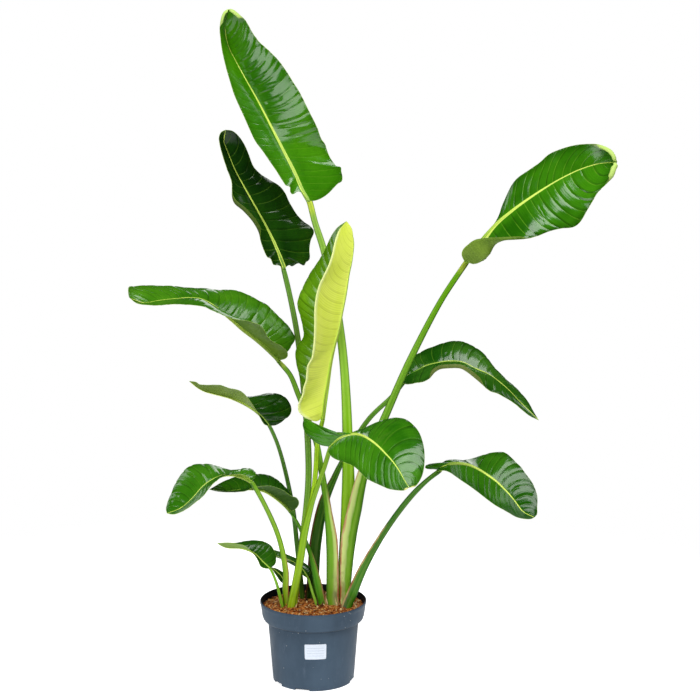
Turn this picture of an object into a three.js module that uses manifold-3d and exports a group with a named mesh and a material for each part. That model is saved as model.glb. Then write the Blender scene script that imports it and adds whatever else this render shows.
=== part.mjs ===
// A bird of paradise plant in a nursery pot, about 1.75 m tall, in millimetres.
// Origin: the middle of the pot's underside. +Z is up, +X is right and the front faces -Y.
import * as THREE from 'three';
import * as BufferGeometryUtils from 'three/addons/utils/BufferGeometryUtils.js';
import Module from 'manifold-3d';

const wasm = await Module();
wasm.setup();

// ---- driving dimensions ----
// The space left round a buried or stuck-on piece, and between a stalk and its blade's foot.
const GAP = 0.3;
const SEAT_GAP = 0.8;

const POT = {
  height: 215,
  rimRadius: 140,
  rimRound: 2,
  collarHeight: 51,
  collarFootRadius: 133,
  collarFootRound: 4,
  shoulderRadius: 120,
  shoulderDrop: 5,
  footRadius: 107,
  footChamfer: 3,
  wall: 3,
  floor: 4,
  sides: 40,
};

// Three slots on each side of the pot's foot, at these angles round from the front.
const DRAIN_SLOT = { angles: [-105, -60, -15, 75, 120, 165], width: 39, height: 7, depth: 12 };

const LABEL = {
  width: 56,
  height: 41,
  corner: 3,
  cornerStep: 1,
  thickness: 0.6,
  centreX: 8,
  centreZ: 110,
  columns: 6,
};

const SOIL = { edgeZ: 196, crownRadius: 79, crownZ: 201, middleZ: 204, sides: 40 };

const FOOT_DEPTH = 25;
const STALK_SIDES = 8;
const STALK_STATIONS = 14;

const BLADE_THICKNESS = 2;
const BLADE_STATIONS = 18;
const HALF_BLADE_STRIPS = 3;
const BLADE_SWELL = 0.05;

const GREEN = { deep: 0x1f5a1e, mid: 0x2f7d2a, bright: 0x4b9a32, lime: 0xb9d348 };
const COLOUR = { pot: 0x4a5563, label: 0xe9eef4, soil: 0x7b3f1d };
const ROUGHNESS = { pot: 0.5, label: 0.6, soil: 0.95, blade: 0.35, stalk: 0.45 };

// Points nearer to each other than this are one point, and a stalk whose cosine to the upward
// direction of its blade is below this meets the blade from the side.
const MERGE_DISTANCE = 0.001;
const LEAST_COSINE = 0.001;

// ---- the leaves ----
// stalk: stations from the soil to just below the blade, each [x, y, z, width, depth].
// midrib: from the blade's foot to its tip. left and right: the blade's two margins between foot
// and tip, left and right as seen from the stalk, looking along the midrib at the upper face.
// leftFold, rightFold: the line halfway between midrib and margin, where that half is folded.
// stalkTop: the last station of a stalk that ends between the lobes of a folded blade.
const LEAVES = [
  {
    name: 'top_leaf',
    bladeColour: GREEN.bright,
    stalkColour: 0x86b352,
    stalk: [
      [76, 20, 200, 22, 13], [84, 18, 330, 34, 14], [92, 18, 480, 36, 15], [91, 21, 620, 28, 16],
      [84, 28, 796, 23, 17], [73, 40, 910, 22, 16], [54, 50, 1029, 20, 15], [29, 58, 1132, 18, 14],
      [6, 62, 1204, 16, 13],
    ],
    midrib: [
      [-9, 64, 1258], [-27, 67, 1288], [-48, 72, 1335], [-78, 76, 1394], [-108, 80, 1453],
      [-142, 84, 1518], [-171, 84, 1569], [-195, 82, 1613], [-212, 78, 1647], [-220, 68, 1681],
      [-218, 47, 1715], [-208, 30, 1742],
    ],
    left: [
      [-28, 59, 1280], [-38, 57, 1283], [-46, 54, 1278], [-52, 53, 1276], [-57, 52, 1283],
      [-58, 51, 1295], [-68, 50, 1299], [-75, 50, 1309], [-93, 49, 1338], [-128, 48, 1388],
      [-146, 48, 1413], [-167, 49, 1460], [-201, 51, 1538], [-223, 49, 1621], [-230, 43, 1665],
      [-232, 37, 1695], [-228, 27, 1719], [-220, 26, 1735],
    ],
    right: [
      [7, 65, 1259], [25, 69, 1266], [43, 75, 1279], [56, 79, 1293], [65, 82, 1302], [75, 84, 1308],
      [77, 85, 1319], [74, 85, 1334], [73, 84, 1344], [62, 85, 1347], [55, 86, 1355], [47, 87, 1366],
      [41, 86, 1378], [36, 83, 1392], [33, 77, 1403], [23, 68, 1418], [13, 54, 1446], [-2, 46, 1476],
      [-33, 41, 1537], [-48, 43, 1560], [-66, 45, 1589], [-86, 47, 1616], [-111, 49, 1641],
      [-134, 47, 1662], [-151, 44, 1686], [-165, 37, 1711], [-180, 26, 1728], [-194, 23, 1739],
    ],
  },
  {
    name: 'second_leaf',
    bladeColour: GREEN.deep,
    stalkColour: 0x5b8a5a,
    stalk: [
      [-55, -4, 200, 18, 10], [-36, -3, 322, 18, 10], [-20, 4, 440, 16, 11], [-12, 20, 530, 17, 12],
      [-13, 42, 610, 17, 13], [-22, 72, 735, 17, 13], [-42, 98, 904, 15, 12], [-62, 110, 1009, 14, 11],
    ],
    midrib: [
      [-75, 116, 1076], [-94, 120, 1127], [-119, 124, 1179], [-147, 127, 1231], [-176, 129, 1283],
      [-205, 128, 1338], [-222, 124, 1382], [-231, 116, 1411], [-225, 100, 1440],
    ],
    left: [
      [-89, 107, 1087], [-104, 102, 1090], [-111, 95, 1106], [-119, 93, 1110], [-131, 88, 1140],
      [-141, 84, 1175], [-158, 81, 1205], [-181, 80, 1231], [-203, 82, 1250], [-210, 86, 1267],
      [-212, 95, 1306], [-224, 98, 1342], [-236, 98, 1383], [-242, 96, 1419], [-237, 98, 1433],
    ],
    right: [
      [-70, 123, 1083], [-63, 129, 1086], [-56, 135, 1083], [-43, 135, 1091], [-34, 135, 1092],
      [-25, 135, 1086], [-20, 136, 1094], [-11, 136, 1101], [-10, 138, 1130], [-7, 140, 1149],
      [2, 142, 1174], [-8, 143, 1189], [-24, 143, 1200], [-43, 144, 1220], [-61, 146, 1250],
      [-75, 147, 1278], [-90, 147, 1294], [-114, 147, 1308], [-140, 146, 1324], [-158, 145, 1344],
      [-169, 143, 1374], [-179, 132, 1401], [-193, 118, 1424], [-208, 106, 1437],
    ],
  },
  {
    name: 'left_leaf',
    bladeColour: GREEN.mid,
    stalkColour: 0x6a9f45,
    stalk: [
      [51, -8, 200, 33, 13], [51, -8, 260, 33, 13], [49, -6, 376, 31, 13], [40, -3, 448, 21, 13],
      [34, 2, 490, 18, 13], [22, 12, 560, 16, 13], [10, 27, 625, 15, 12], [-5, 38, 668, 15, 12],
      [-39, 42, 757, 14, 11], [-59, 43, 806, 12, 9],
    ],
    midrib: [
      [-86, 42, 846], [-111, 37, 872], [-142, 32, 900], [-178, 28, 928], [-208, 25, 955],
      [-233, 22, 976], [-259, 19, 995], [-284, 16, 1009], [-314, 13, 1013], [-350, 9, 1011],
      [-391, 5, 1007], [-421, 2, 1002], [-447, 0, 1002], [-469, -4, 1016],
    ],
    left: [
      [-70, 20, 854], [-65, 12, 863], [-68, 4, 877], [-81, -4, 893], [-98, -10, 903], [-112, -16, 916],
      [-122, -24, 936], [-133, -29, 950], [-158, -32, 959], [-188, -34, 962], [-216, -35, 969],
      [-251, -37, 986], [-271, -38, 996], [-304, -40, 1000], [-360, -38, 1000], [-412, -30, 998],
      [-444, -21, 1001],
    ],
    right: [
      [-67, 65, 866], [-57, 75, 881], [-48, 84, 898], [-56, 89, 915], [-66, 92, 930], [-82, 94, 947],
      [-103, 96, 968], [-121, 96, 986], [-142, 96, 997], [-165, 95, 1009], [-189, 93, 1019],
      [-212, 91, 1023], [-246, 87, 1025], [-274, 82, 1031], [-321, 76, 1034], [-384, 64, 1037],
      [-434, 48, 1041], [-460, 32, 1042], [-471, 14, 1041], [-471, -2, 1029],
    ],
  },
  {
    name: 'right_top_leaf',
    bladeColour: GREEN.bright,
    stalkColour: 0x79b540,
    stalk: [
      [81, -4, 200, 22, 12], [84, -4, 240, 27, 13], [93, -3, 376, 40, 14], [109, -1, 460, 38, 14],
      [127, 4, 540, 30, 14], [148, 10, 605, 23, 14], [196, 24, 718, 20, 14], [254, 42, 848, 18, 13],
      [335, 60, 1002, 15, 12],
    ],
    stalkTop: [398.5, 75.9, 1098.3, 11, 9],
    midrib: [
      [399, 76, 1099], [420, 81, 1130], [445, 86, 1163], [479, 91, 1200], [516, 95, 1230],
      [552, 98, 1256], [596, 102, 1285], [643, 104, 1313], [689, 103, 1336], [729, 97, 1350],
      [758, 81, 1356], [784, 58, 1357],
    ],
    left: [
      [417, 84, 1125], [452, 104, 1167], [479, 117, 1202], [491, 122, 1226], [500, 125, 1252],
      [509, 127, 1277], [519, 128, 1297], [534, 128, 1315], [552, 128, 1328], [575, 127, 1343],
      [595, 126, 1357], [615, 124, 1376], [638, 121, 1388], [669, 115, 1398], [701, 105, 1403],
      [732, 92, 1403], [756, 76, 1397], [773, 63, 1385],
    ],
    right: [
      [389, 54, 1109], [385, 45, 1124], [390, 38, 1137], [403, 34, 1149], [420, 30, 1157],
      [446, 26, 1158], [476, 21, 1158], [512, 23, 1159], [548, 30, 1163], [580, 40, 1170],
      [610, 48, 1181], [642, 55, 1188], [673, 60, 1191], [690, 60, 1203], [707, 58, 1232],
      [720, 53, 1256], [733, 48, 1280], [748, 44, 1296], [767, 43, 1314], [780, 45, 1336],
    ],
    rightFold: [
      [426, 60, 1096], [453, 48, 1116], [475, 50, 1150], [534, 53, 1187], [619, 66, 1234],
      [699, 72, 1285], [755, 60, 1328],
    ],
  },
  {
    name: 'young_leaf',
    bladeColour: GREEN.lime,
    stalkColour: 0xa6cb4b,
    stalk: [
      [-50, -17, 200, 16, 9], [-33, -18, 325, 16, 9], [-14, -19, 440, 14, 10], [0, -17, 500, 13, 10],
      [8, -12, 566, 13, 11], [13, -6, 640, 13, 11],
    ],
    midrib: [
      [22, 2, 698], [29, 1, 719], [30, 1, 743], [35, 0, 775], [42, -3, 827], [51, -6, 875],
      [65, -9, 927], [75, -12, 977], [86, -14, 1031], [94, -16, 1082], [103, -17, 1126],
      [105, -18, 1164], [101, -20, 1193], [88, -22, 1212],
    ],
    left: [
      [3, 8, 715], [-17, 16, 751], [-30, 21, 789], [-38, 24, 818], [-45, 30, 848], [-46, 32, 869],
      [-39, 31, 889], [-25, 29, 909], [-24, 28, 925], [-31, 31, 958], [-39, 34, 984], [-40, 34, 997],
      [-32, 32, 1023], [-7, 25, 1073], [10, 19, 1099], [25, 12, 1123], [39, 5, 1151], [52, -3, 1177],
      [66, -11, 1196],
    ],
    right: [
      [11, -7, 694], [-6, -22, 700], [-23, -32, 712], [-33, -39, 724], [-35, -46, 740],
      [-30, -53, 756], [-23, -58, 772], [-20, -63, 791], [-14, -66, 809], [-12, -69, 828],
      [-10, -72, 847], [1, -75, 868], [5, -78, 891], [9, -82, 955], [9, -83, 993], [13, -82, 1026],
      [20, -80, 1053], [32, -77, 1079], [44, -72, 1104], [53, -63, 1131], [59, -53, 1159],
      [68, -41, 1186], [79, -30, 1203],
    ],
  },
  {
    name: 'left_middle_leaf',
    bladeColour: GREEN.deep,
    stalkColour: 0x3f6e4c,
    stalk: [
      [-30, 46, 200, 14, 10], [-44, 50, 348, 13, 10], [-54, 56, 442, 12, 10], [-75, 58, 550, 11, 9],
      [-95, 48, 625, 10, 8],
    ],
    midrib: [
      [-113, 36, 673], [-135, 26, 702], [-160, 14, 725], [-188, -1, 744], [-220, -18, 760],
      [-249, -35, 770], [-283, -52, 784], [-312, -70, 810],
    ],
    left: [
      [-126, 19, 680], [-140, -1, 708], [-152, -16, 734], [-165, -28, 757], [-178, -38, 776],
      [-194, -46, 785], [-212, -54, 790], [-234, -62, 799], [-271, -70, 800], [-286, -71, 802],
      [-293, -70, 807],
    ],
    right: [
      [-97, 46, 673], [-78, 57, 683], [-60, 66, 699], [-57, 72, 715], [-63, 77, 729], [-75, 80, 743],
      [-98, 79, 752], [-118, 74, 754], [-145, 61, 747], [-168, 48, 746], [-200, 24, 753],
      [-251, -16, 777],
    ],
  },
  {
    name: 'right_middle_leaf',
    bladeColour: GREEN.mid,
    stalkColour: 0x4f8a3f,
    stalk: [
      [-8, 50, 200, 30, 13], [-3, 50, 240, 32, 13], [6, 52, 360, 32, 13], [28, 56, 465, 27, 13],
      [52, 62, 520, 18, 12], [76, 66, 570, 14, 11], [145, 82, 680, 13, 11], [210, 94, 743, 12, 10],
    ],
    stalkTop: [248.5, 107.8, 790.2, 10, 8],
    midrib: [
      [250, 106, 794], [275, 112, 807], [299, 118, 819], [331, 121, 827], [362, 122, 831],
      [397, 119, 828], [433, 112, 811], [465, 104, 798], [493, 95, 779], [519, 84, 757],
      [542, 72, 733], [565, 59, 712], [592, 44, 686],
    ],
    left: [
      [238, 124, 814], [254, 140, 836], [276, 150, 845], [298, 157, 856], [319, 160, 864],
      [346, 163, 874], [375, 164, 880], [402, 163, 878], [426, 160, 868], [450, 154, 852],
      [466, 148, 835], [479, 141, 816], [497, 133, 797], [515, 125, 781], [538, 114, 763],
      [553, 103, 746], [566, 89, 729], [579, 66, 707],
    ],
    right: [
      [231, 90, 782], [246, 80, 775], [273, 64, 783], [291, 55, 789], [306, 49, 799], [319, 45, 812],
      [334, 44, 821], [363, 44, 823], [386, 45, 822], [402, 47, 814], [434, 52, 787], [450, 54, 773],
      [466, 56, 761], [482, 57, 756], [498, 59, 747], [517, 60, 736], [533, 60, 725], [549, 58, 711],
      [569, 52, 696],
    ],
  },
  {
    name: 'front_leaf',
    bladeColour: GREEN.mid,
    stalkColour: 0x8fbf48,
    stalk: [
      [-58, -30, 200, 21, 11], [-46, -32, 262, 20, 11], [-33, -34, 331, 20, 11], [-20, -38, 410, 19, 11],
      [-8, -41, 460, 15, 10], [1, -44, 494, 13, 10], [30, -52, 580, 12, 10],
    ],
    midrib: [
      [46, -60, 637], [69, -76, 662], [84, -87, 672], [102, -100, 679], [122, -116, 681],
      [137, -130, 677], [152, -144, 670], [172, -165, 657], [186, -181, 645], [198, -193, 634],
      [208, -203, 623], [220, -215, 607], [230, -227, 590], [242, -240, 573],
    ],
    left: [
      [17, -49, 642], [-6, -38, 658], [-19, -32, 672], [-24, -27, 688], [-20, -24, 702],
      [-9, -24, 699], [4, -29, 678], [25, -34, 665], [53, -42, 661], [81, -49, 668], [112, -54, 679],
      [143, -58, 692], [168, -63, 704], [194, -70, 713], [216, -82, 718], [236, -95, 717],
      [256, -114, 706], [270, -133, 690], [279, -156, 667], [282, -177, 642], [281, -192, 623],
      [277, -206, 602], [269, -218, 586], [258, -229, 575],
    ],
    right: [
      [42, -75, 627], [51, -87, 617], [66, -100, 611], [84, -116, 608], [99, -132, 606],
      [112, -148, 602], [124, -161, 593], [137, -175, 582], [152, -186, 576], [171, -198, 570],
      [191, -211, 564], [210, -223, 563], [229, -234, 565],
    ],
  },
  {
    name: 'low_right_leaf',
    bladeColour: GREEN.mid,
    stalkColour: 0x4d8f33,
    stalk: [
      [88, -26, 200, 28, 13], [103, -30, 241, 28, 13], [132, -38, 312, 23, 13], [171, -46, 385, 17, 12],
      [208, -54, 445, 15, 11], [242, -63, 494, 15, 10], [269, -69, 527, 14, 10], [298, -77, 557, 12, 10],
    ],
    midrib: [
      [324, -84, 582], [333, -88, 592], [344, -91, 598], [359, -94, 603], [376, -98, 604],
      [394, -101, 602], [411, -105, 596], [429, -109, 587], [446, -113, 576], [464, -121, 564],
      [481, -129, 549], [495, -138, 536], [506, -146, 524], [517, -153, 510], [526, -160, 498],
      [537, -166, 490], [559, -172, 481],
    ],
    left: [
      [290, -69, 584], [294, -61, 590], [310, -56, 586], [324, -53, 583], [331, -52, 592],
      [343, -50, 600], [362, -48, 601], [382, -47, 599], [400, -46, 600], [431, -46, 610],
      [452, -46, 617], [468, -52, 622], [484, -58, 625], [496, -65, 623], [507, -73, 615],
      [532, -94, 593], [543, -106, 578], [556, -117, 562], [565, -129, 543], [569, -141, 525],
      [567, -157, 503], [566, -166, 488],
    ],
    right: [
      [318, -92, 581], [336, -95, 583], [351, -96, 578], [368, -103, 568], [383, -109, 558],
      [406, -116, 543], [423, -120, 531], [443, -124, 516], [464, -130, 502], [482, -136, 493],
      [498, -143, 485], [515, -154, 477], [533, -165, 475], [551, -169, 476],
    ],
  },
  {
    name: 'low_left_leaf',
    bladeColour: GREEN.mid,
    stalkColour: 0x9bc548,
    stalk: [
      [-70, -16, 200, 16, 10], [-72, -22, 250, 18, 10], [-71, -30, 298, 16, 10], [-86, -56, 393, 13, 10],
      [-119, -82, 485, 12, 9],
    ],
    midrib: [
      [-153, -99, 556], [-175, -104, 569], [-195, -108, 576], [-217, -112, 577], [-237, -115, 572],
      [-260, -118, 560], [-278, -122, 546], [-295, -127, 527], [-313, -132, 509], [-332, -137, 495],
      [-365, -144, 484],
    ],
    left: [
      [-161, -118, 572], [-180, -132, 582], [-205, -141, 582], [-225, -145, 577], [-242, -148, 565],
      [-257, -151, 549], [-272, -152, 531], [-290, -154, 516], [-310, -154, 500], [-331, -151, 488],
      [-349, -147, 482],
    ],
    right: [
      [-144, -88, 568], [-146, -74, 577], [-159, -66, 583], [-178, -59, 580], [-196, -54, 575],
      [-214, -51, 575], [-240, -48, 582], [-258, -48, 589], [-281, -49, 592], [-304, -54, 591],
      [-321, -61, 584], [-338, -74, 567], [-350, -86, 548], [-359, -101, 525], [-366, -119, 506],
      [-368, -135, 493],
    ],
  },
  {
    name: 'low_back_leaf',
    bladeColour: GREEN.mid,
    stalkColour: 0x5a9440,
    stalk: [
      [22, -6, 200, 24, 11], [11, -2, 262, 21, 11], [-5, 8, 327, 13, 10], [-17, 16, 360, 11, 9],
      [-40, 18, 413, 9, 8],
    ],
    midrib: [
      [-58, 12, 450], [-72, 9, 466], [-89, 5, 482], [-110, 1, 498], [-130, -3, 509], [-156, -8, 514],
      [-189, -15, 514], [-225, -22, 512], [-268, -32, 519],
    ],
    left: [
      [-48, -3, 457], [-37, -11, 471], [-35, -16, 484], [-42, -20, 496], [-56, -24, 502],
      [-73, -29, 516], [-95, -36, 526], [-123, -43, 530], [-156, -49, 527], [-171, -50, 520],
      [-213, -48, 516], [-247, -40, 516],
    ],
    right: [
      [-51, 26, 460], [-59, 40, 492], [-72, 44, 507], [-90, 46, 524], [-111, 46, 537], [-135, 43, 542],
      [-182, 32, 542], [-230, 10, 531],
    ],
  },
  {
    name: 'small_left_leaf',
    bladeColour: GREEN.mid,
    stalkColour: 0x6fa644,
    stalk: [[-81, -29, 200, 10, 8], [-86, -29, 230, 9, 7], [-98, -29, 275, 7, 6]],
    midrib: [
      [-111, -30, 307], [-133, -33, 329], [-150, -37, 348], [-168, -40, 359], [-189, -45, 366],
      [-219, -51, 368], [-237, -55, 375], [-247, -58, 383],
    ],
    left: [
      [-122, -38, 309], [-135, -44, 316], [-141, -48, 331], [-148, -53, 346], [-161, -59, 365],
      [-174, -63, 377], [-192, -66, 383], [-218, -65, 386],
    ],
    right: [
      [-98, -21, 317], [-96, -14, 331], [-102, -8, 351], [-113, -6, 365], [-131, -7, 374],
      [-154, -12, 378], [-177, -21, 378], [-200, -32, 377], [-225, -45, 381],
    ],
  },
  {
    name: 'small_back_leaf',
    bladeColour: GREEN.mid,
    stalkColour: 0x7fb04c,
    stalk: [[10, -22, 200, 8, 7], [-3, -10, 240, 7, 6]],
    midrib: [[-14, 14, 269], [-33, 22, 294], [-61, 24, 313], [-98, 20, 326], [-137, 8, 351]],
    left: [[-24, 11, 274], [-43, 12, 296], [-76, 7, 317], [-107, 3, 332]],
    right: [[-6, 24, 288], [-25, 34, 305], [-62, 36, 323], [-101, 28, 340]],
  },
  {
    name: 'foot_leaflet',
    bladeColour: GREEN.deep,
    stalkColour: 0x4d7d3a,
    stalk: [[-66, 8, 200, 6, 5], [-70, 0, 232, 5, 4]],
    midrib: [[-74, -6, 258], [-84, -10, 281], [-100, -14, 298], [-111, -16, 307]],
    left: [[-84, -12, 265], [-97, -16, 285]],
    right: [[-72, 0, 278], [-92, -8, 299]],
  },
];

// ---- shared helpers ----
function toVector([x, y, z]) {
  return new THREE.Vector3(x, y, z);
}

function curveThrough(points) {
  return new THREE.CatmullRomCurve3(points);
}

// A closed body from rings of equal length, with a point that closes each end.
function loft(rings, start, end) {
  const count = rings[0].length;
  const points = [...rings.flat(), start, end];
  const startIndex = points.length - 2;
  const endIndex = points.length - 1;
  const lastRing = (rings.length - 1) * count;
  const index = [];
  for (let i = 0; i < count; i += 1) {
    const next = (i + 1) % count;
    index.push(startIndex, next, i);
    index.push(endIndex, lastRing + i, lastRing + next);
    for (let ring = 0; ring < lastRing; ring += count) {
      index.push(ring + i, ring + next, ring + count + i);
      index.push(ring + next, ring + count + next, ring + count + i);
    }
  }
  const geometry = new THREE.BufferGeometry().setFromPoints(points);
  geometry.setIndex(index);
  return geometry;
}

function toSolid(geometry) {
  const bare = geometry.clone();
  bare.deleteAttribute('normal');
  bare.deleteAttribute('uv');
  const merged = BufferGeometryUtils.mergeVertices(bare, MERGE_DISTANCE);
  const vertProperties = new Float32Array(merged.attributes.position.array);
  const triVerts = new Uint32Array(merged.index.array);
  return new wasm.Manifold(new wasm.Mesh({ numProp: 3, vertProperties, triVerts }));
}

function toGeometry(solid) {
  const { vertProperties, triVerts } = solid.getMesh();
  const geometry = new THREE.BufferGeometry();
  geometry.setAttribute('position', new THREE.BufferAttribute(vertProperties, 3));
  geometry.setIndex(new THREE.BufferAttribute(triVerts, 1));
  return geometry;
}

function addMesh(group, name, geometry, color, roughness) {
  geometry.computeVertexNormals();
  const material = new THREE.MeshStandardMaterial({ color, roughness, metalness: 0 });
  const mesh = new THREE.Mesh(geometry, material);
  mesh.name = name;
  group.add(mesh);
}

// ---- blade ----
// Every curve of a blade runs from its foot to its tip.
function bladeCurves(leaf) {
  const midrib = leaf.midrib.map(toVector);
  const foot = midrib[0];
  const tip = midrib[midrib.length - 1];
  const footToTip = (points) => points && curveThrough([foot, ...points.map(toVector), tip]);
  return {
    midrib: curveThrough(midrib),
    left: footToTip(leaf.left),
    right: footToTip(leaf.right),
    leftFold: footToTip(leaf.leftFold),
    rightFold: footToTip(leaf.rightFold),
  };
}

// The middle of a half blade: on its fold, or bulging a little, as a real blade does between
// midrib and margin.
function halfMiddle(rib, edge, up, fold, u) {
  if (fold) {
    return fold.getPointAt(u);
  }
  const width = rib.distanceTo(edge);
  return rib.clone().lerp(edge, 0.5).addScaledVector(up, BLADE_SWELL * width);
}

// Points across a blade at u along the midrib: left margin, midrib, right margin.
function bladeRow(curves, u) {
  const rib = curves.midrib.getPointAt(u);
  const along = curves.midrib.getTangentAt(u);
  const row = [];
  for (let column = -HALF_BLADE_STRIPS; column <= HALF_BLADE_STRIPS; column += 1) {
    const isLeft = column < 0;
    const share = Math.abs(column) / HALF_BLADE_STRIPS;
    const edge = (isLeft ? curves.left : curves.right).getPointAt(u);
    const up = edge.clone().sub(rib).cross(along).multiplyScalar(isLeft ? -1 : 1).normalize();
    const fold = isLeft ? curves.leftFold : curves.rightFold;
    const middle = halfMiddle(rib, edge, up, fold, u);
    const bend = middle.addScaledVector(rib, -0.5).addScaledVector(edge, -0.5);
    row.push(rib.clone().lerp(edge, share).addScaledVector(bend, 4 * share * (1 - share)));
  }
  return row;
}

// The upward direction of the blade's face at one grid point.
function faceUp(rows, row, column) {
  const before = rows[row - 1][column];
  const after = rows[row + 1][column];
  const last = rows[row].length - 1;
  const leftward = rows[row][Math.max(column - 1, 0)];
  const rightward = rows[row][Math.min(column + 1, last)];
  const along = new THREE.Vector3().subVectors(after, before);
  const across = new THREE.Vector3().subVectors(leftward, rightward);
  return along.cross(across).normalize();
}

function bladeGeometry(leaf) {
  const curves = bladeCurves(leaf);
  const foot = curves.midrib.getPoint(0);
  const tip = curves.midrib.getPoint(1);
  const columns = 2 * HALF_BLADE_STRIPS + 1;
  const rows = [Array(columns).fill(foot)];
  for (let station = 1; station < BLADE_STATIONS; station += 1) {
    rows.push(bladeRow(curves, station / BLADE_STATIONS));
  }
  rows.push(Array(columns).fill(tip));
  const rings = [];
  for (let row = 1; row < BLADE_STATIONS; row += 1) {
    const up = rows[row].map((_, column) => faceUp(rows, row, column));
    const lift = up.map((direction) => direction.multiplyScalar(BLADE_THICKNESS / 2));
    const upper = rows[row].map((point, column) => point.clone().add(lift[column]));
    const lower = rows[row].map((point, column) => point.clone().sub(lift[column]));
    rings.push([...upper, ...lower.reverse()]);
  }
  return loft(rings, foot, tip);
}

// ---- stalk ----
// The directions of a stalk's width and depth where it runs along the given direction.
function sectionAxes(along) {
  const across = new THREE.Vector3(1, 0, 0).addScaledVector(along, -along.x).normalize();
  const deep = new THREE.Vector3().crossVectors(along, across);
  return { across, deep };
}

// The last station lies just under the blade's foot, which rests on the stalk's end or its side.
function seatBelowBlade(leaf) {
  if (leaf.stalkTop) {
    return leaf.stalkTop;
  }
  const curves = bladeCurves(leaf);
  const early = 1 / BLADE_STATIONS;
  const foot = curves.midrib.getPoint(0);
  const leftward = curves.left.getPointAt(early).sub(curves.right.getPointAt(early));
  const up = curves.midrib.getTangentAt(early).cross(leftward).normalize();
  const [x, y, z, width, depth] = leaf.stalk[leaf.stalk.length - 1];
  const along = foot.clone().sub(new THREE.Vector3(x, y, z)).normalize();
  const { across, deep } = sectionAxes(along);
  const pastSide = 1 / Math.hypot(across.dot(up) / (width / 2), deep.dot(up) / (depth / 2)) + SEAT_GAP;
  const pastEnd = SEAT_GAP / Math.max(along.dot(up), LEAST_COSINE);
  const seat = foot.addScaledVector(up, -Math.min(pastSide, pastEnd));
  return [seat.x, seat.y, seat.z, width, depth];
}

function stalkStations(leaf) {
  const [x, y, z, width, depth] = leaf.stalk[0];
  const buried = [x, y, z - FOOT_DEPTH, width, depth];
  return [buried, ...leaf.stalk, seatBelowBlade(leaf)];
}

// The width and depth at u, which follow the stations as the centre line does.
function stalkGeometry(leaf, margin = 0) {
  const stations = stalkStations(leaf);
  const centre = curveThrough(stations.map(toVector));
  const girth = curveThrough(stations.map(([, , z, width, depth]) => new THREE.Vector3(width, depth, z)));
  const rings = [];
  for (let station = 0; station <= STALK_STATIONS; station += 1) {
    const t = centre.getUtoTmapping(station / STALK_STATIONS);
    const middle = centre.getPoint(t);
    const { across, deep } = sectionAxes(centre.getTangent(t));
    const size = girth.getPoint(t);
    const ring = [];
    for (let i = 0; i < STALK_SIDES; i += 1) {
      const angle = (2 * Math.PI * i) / STALK_SIDES;
      const a = (size.x / 2 + margin) * Math.cos(angle);
      const b = (size.y / 2 + margin) * Math.sin(angle);
      ring.push(middle.clone().addScaledVector(across, a).addScaledVector(deep, b));
    }
    rings.push(ring);
  }
  const start = centre.getPoint(0);
  for (const point of [start, ...rings[0]]) {
    point.z -= margin;
  }
  return loft(rings, start, centre.getPoint(1));
}

// ---- pot ----
function latheAroundZ(profile, sides) {
  const points = profile.map(([radius, z]) => new THREE.Vector2(radius, z));
  return new THREE.LatheGeometry(points, sides).rotateX(Math.PI / 2);
}

// Outer radius of the body below the collar.
function bodyRadius(z) {
  const bodyTop = POT.height - POT.collarHeight;
  return THREE.MathUtils.mapLinear(z, 0, bodyTop, POT.footRadius, POT.shoulderRadius);
}

// Inner radius, which the soil fills.
function innerRadius(z) {
  const bodyTop = POT.height - POT.collarHeight;
  if (z < bodyTop) {
    return bodyRadius(z) - POT.wall;
  }
  return THREE.MathUtils.mapLinear(z, bodyTop, POT.height, POT.collarFootRadius, POT.rimRadius) - POT.wall;
}

function potGeometry() {
  const bodyTop = POT.height - POT.collarHeight;
  const shell = latheAroundZ([
    [0, 0],
    [POT.footRadius - POT.footChamfer, 0],
    [bodyRadius(POT.footChamfer), POT.footChamfer],
    [POT.shoulderRadius, bodyTop],
    [POT.collarFootRadius - POT.collarFootRound, bodyTop],
    [POT.collarFootRadius, bodyTop + POT.collarFootRound],
    [POT.rimRadius, POT.height - POT.rimRound],
    [POT.rimRadius - POT.wall / 2, POT.height],
    [POT.rimRadius - POT.wall, POT.height - POT.rimRound],
    [POT.collarFootRadius - POT.wall, bodyTop + POT.shoulderDrop],
    [POT.shoulderRadius - POT.wall, bodyTop],
    [bodyRadius(POT.floor) - POT.wall, POT.floor],
    [0, POT.floor],
  ], POT.sides);
  let solid = toSolid(shell);
  for (const angle of DRAIN_SLOT.angles) {
    const slot = new THREE.BoxGeometry(DRAIN_SLOT.width, 2 * DRAIN_SLOT.depth, 2 * DRAIN_SLOT.height);
    slot.translate(0, -POT.footRadius, 0).rotateZ(THREE.MathUtils.degToRad(angle));
    solid = solid.subtract(toSolid(slot));
  }
  return toGeometry(solid);
}

// ---- label ----
// A sticker with round corners, bent round the pot's front and leaning with its wall.
function labelRing(x) {
  const { width, height, corner, thickness, centreX, centreZ } = LABEL;
  const pastCorner = Math.max(Math.abs(x) - (width / 2 - corner), 0);
  const halfHeight = height / 2 - corner + Math.sqrt(corner ** 2 - pastCorner ** 2);
  const place = (z, lift) => {
    const radius = bodyRadius(z) + GAP + lift;
    const angle = (centreX + x) / bodyRadius(centreZ);
    return new THREE.Vector3(radius * Math.sin(angle), -radius * Math.cos(angle), z);
  };
  const low = centreZ - halfHeight;
  const high = centreZ + halfHeight;
  return [place(low, 0), place(high, 0), place(high, thickness), place(low, thickness)];
}

function middleOf(ring) {
  const sum = ring.reduce((total, point) => total.add(point), new THREE.Vector3());
  return sum.divideScalar(ring.length);
}

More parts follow.
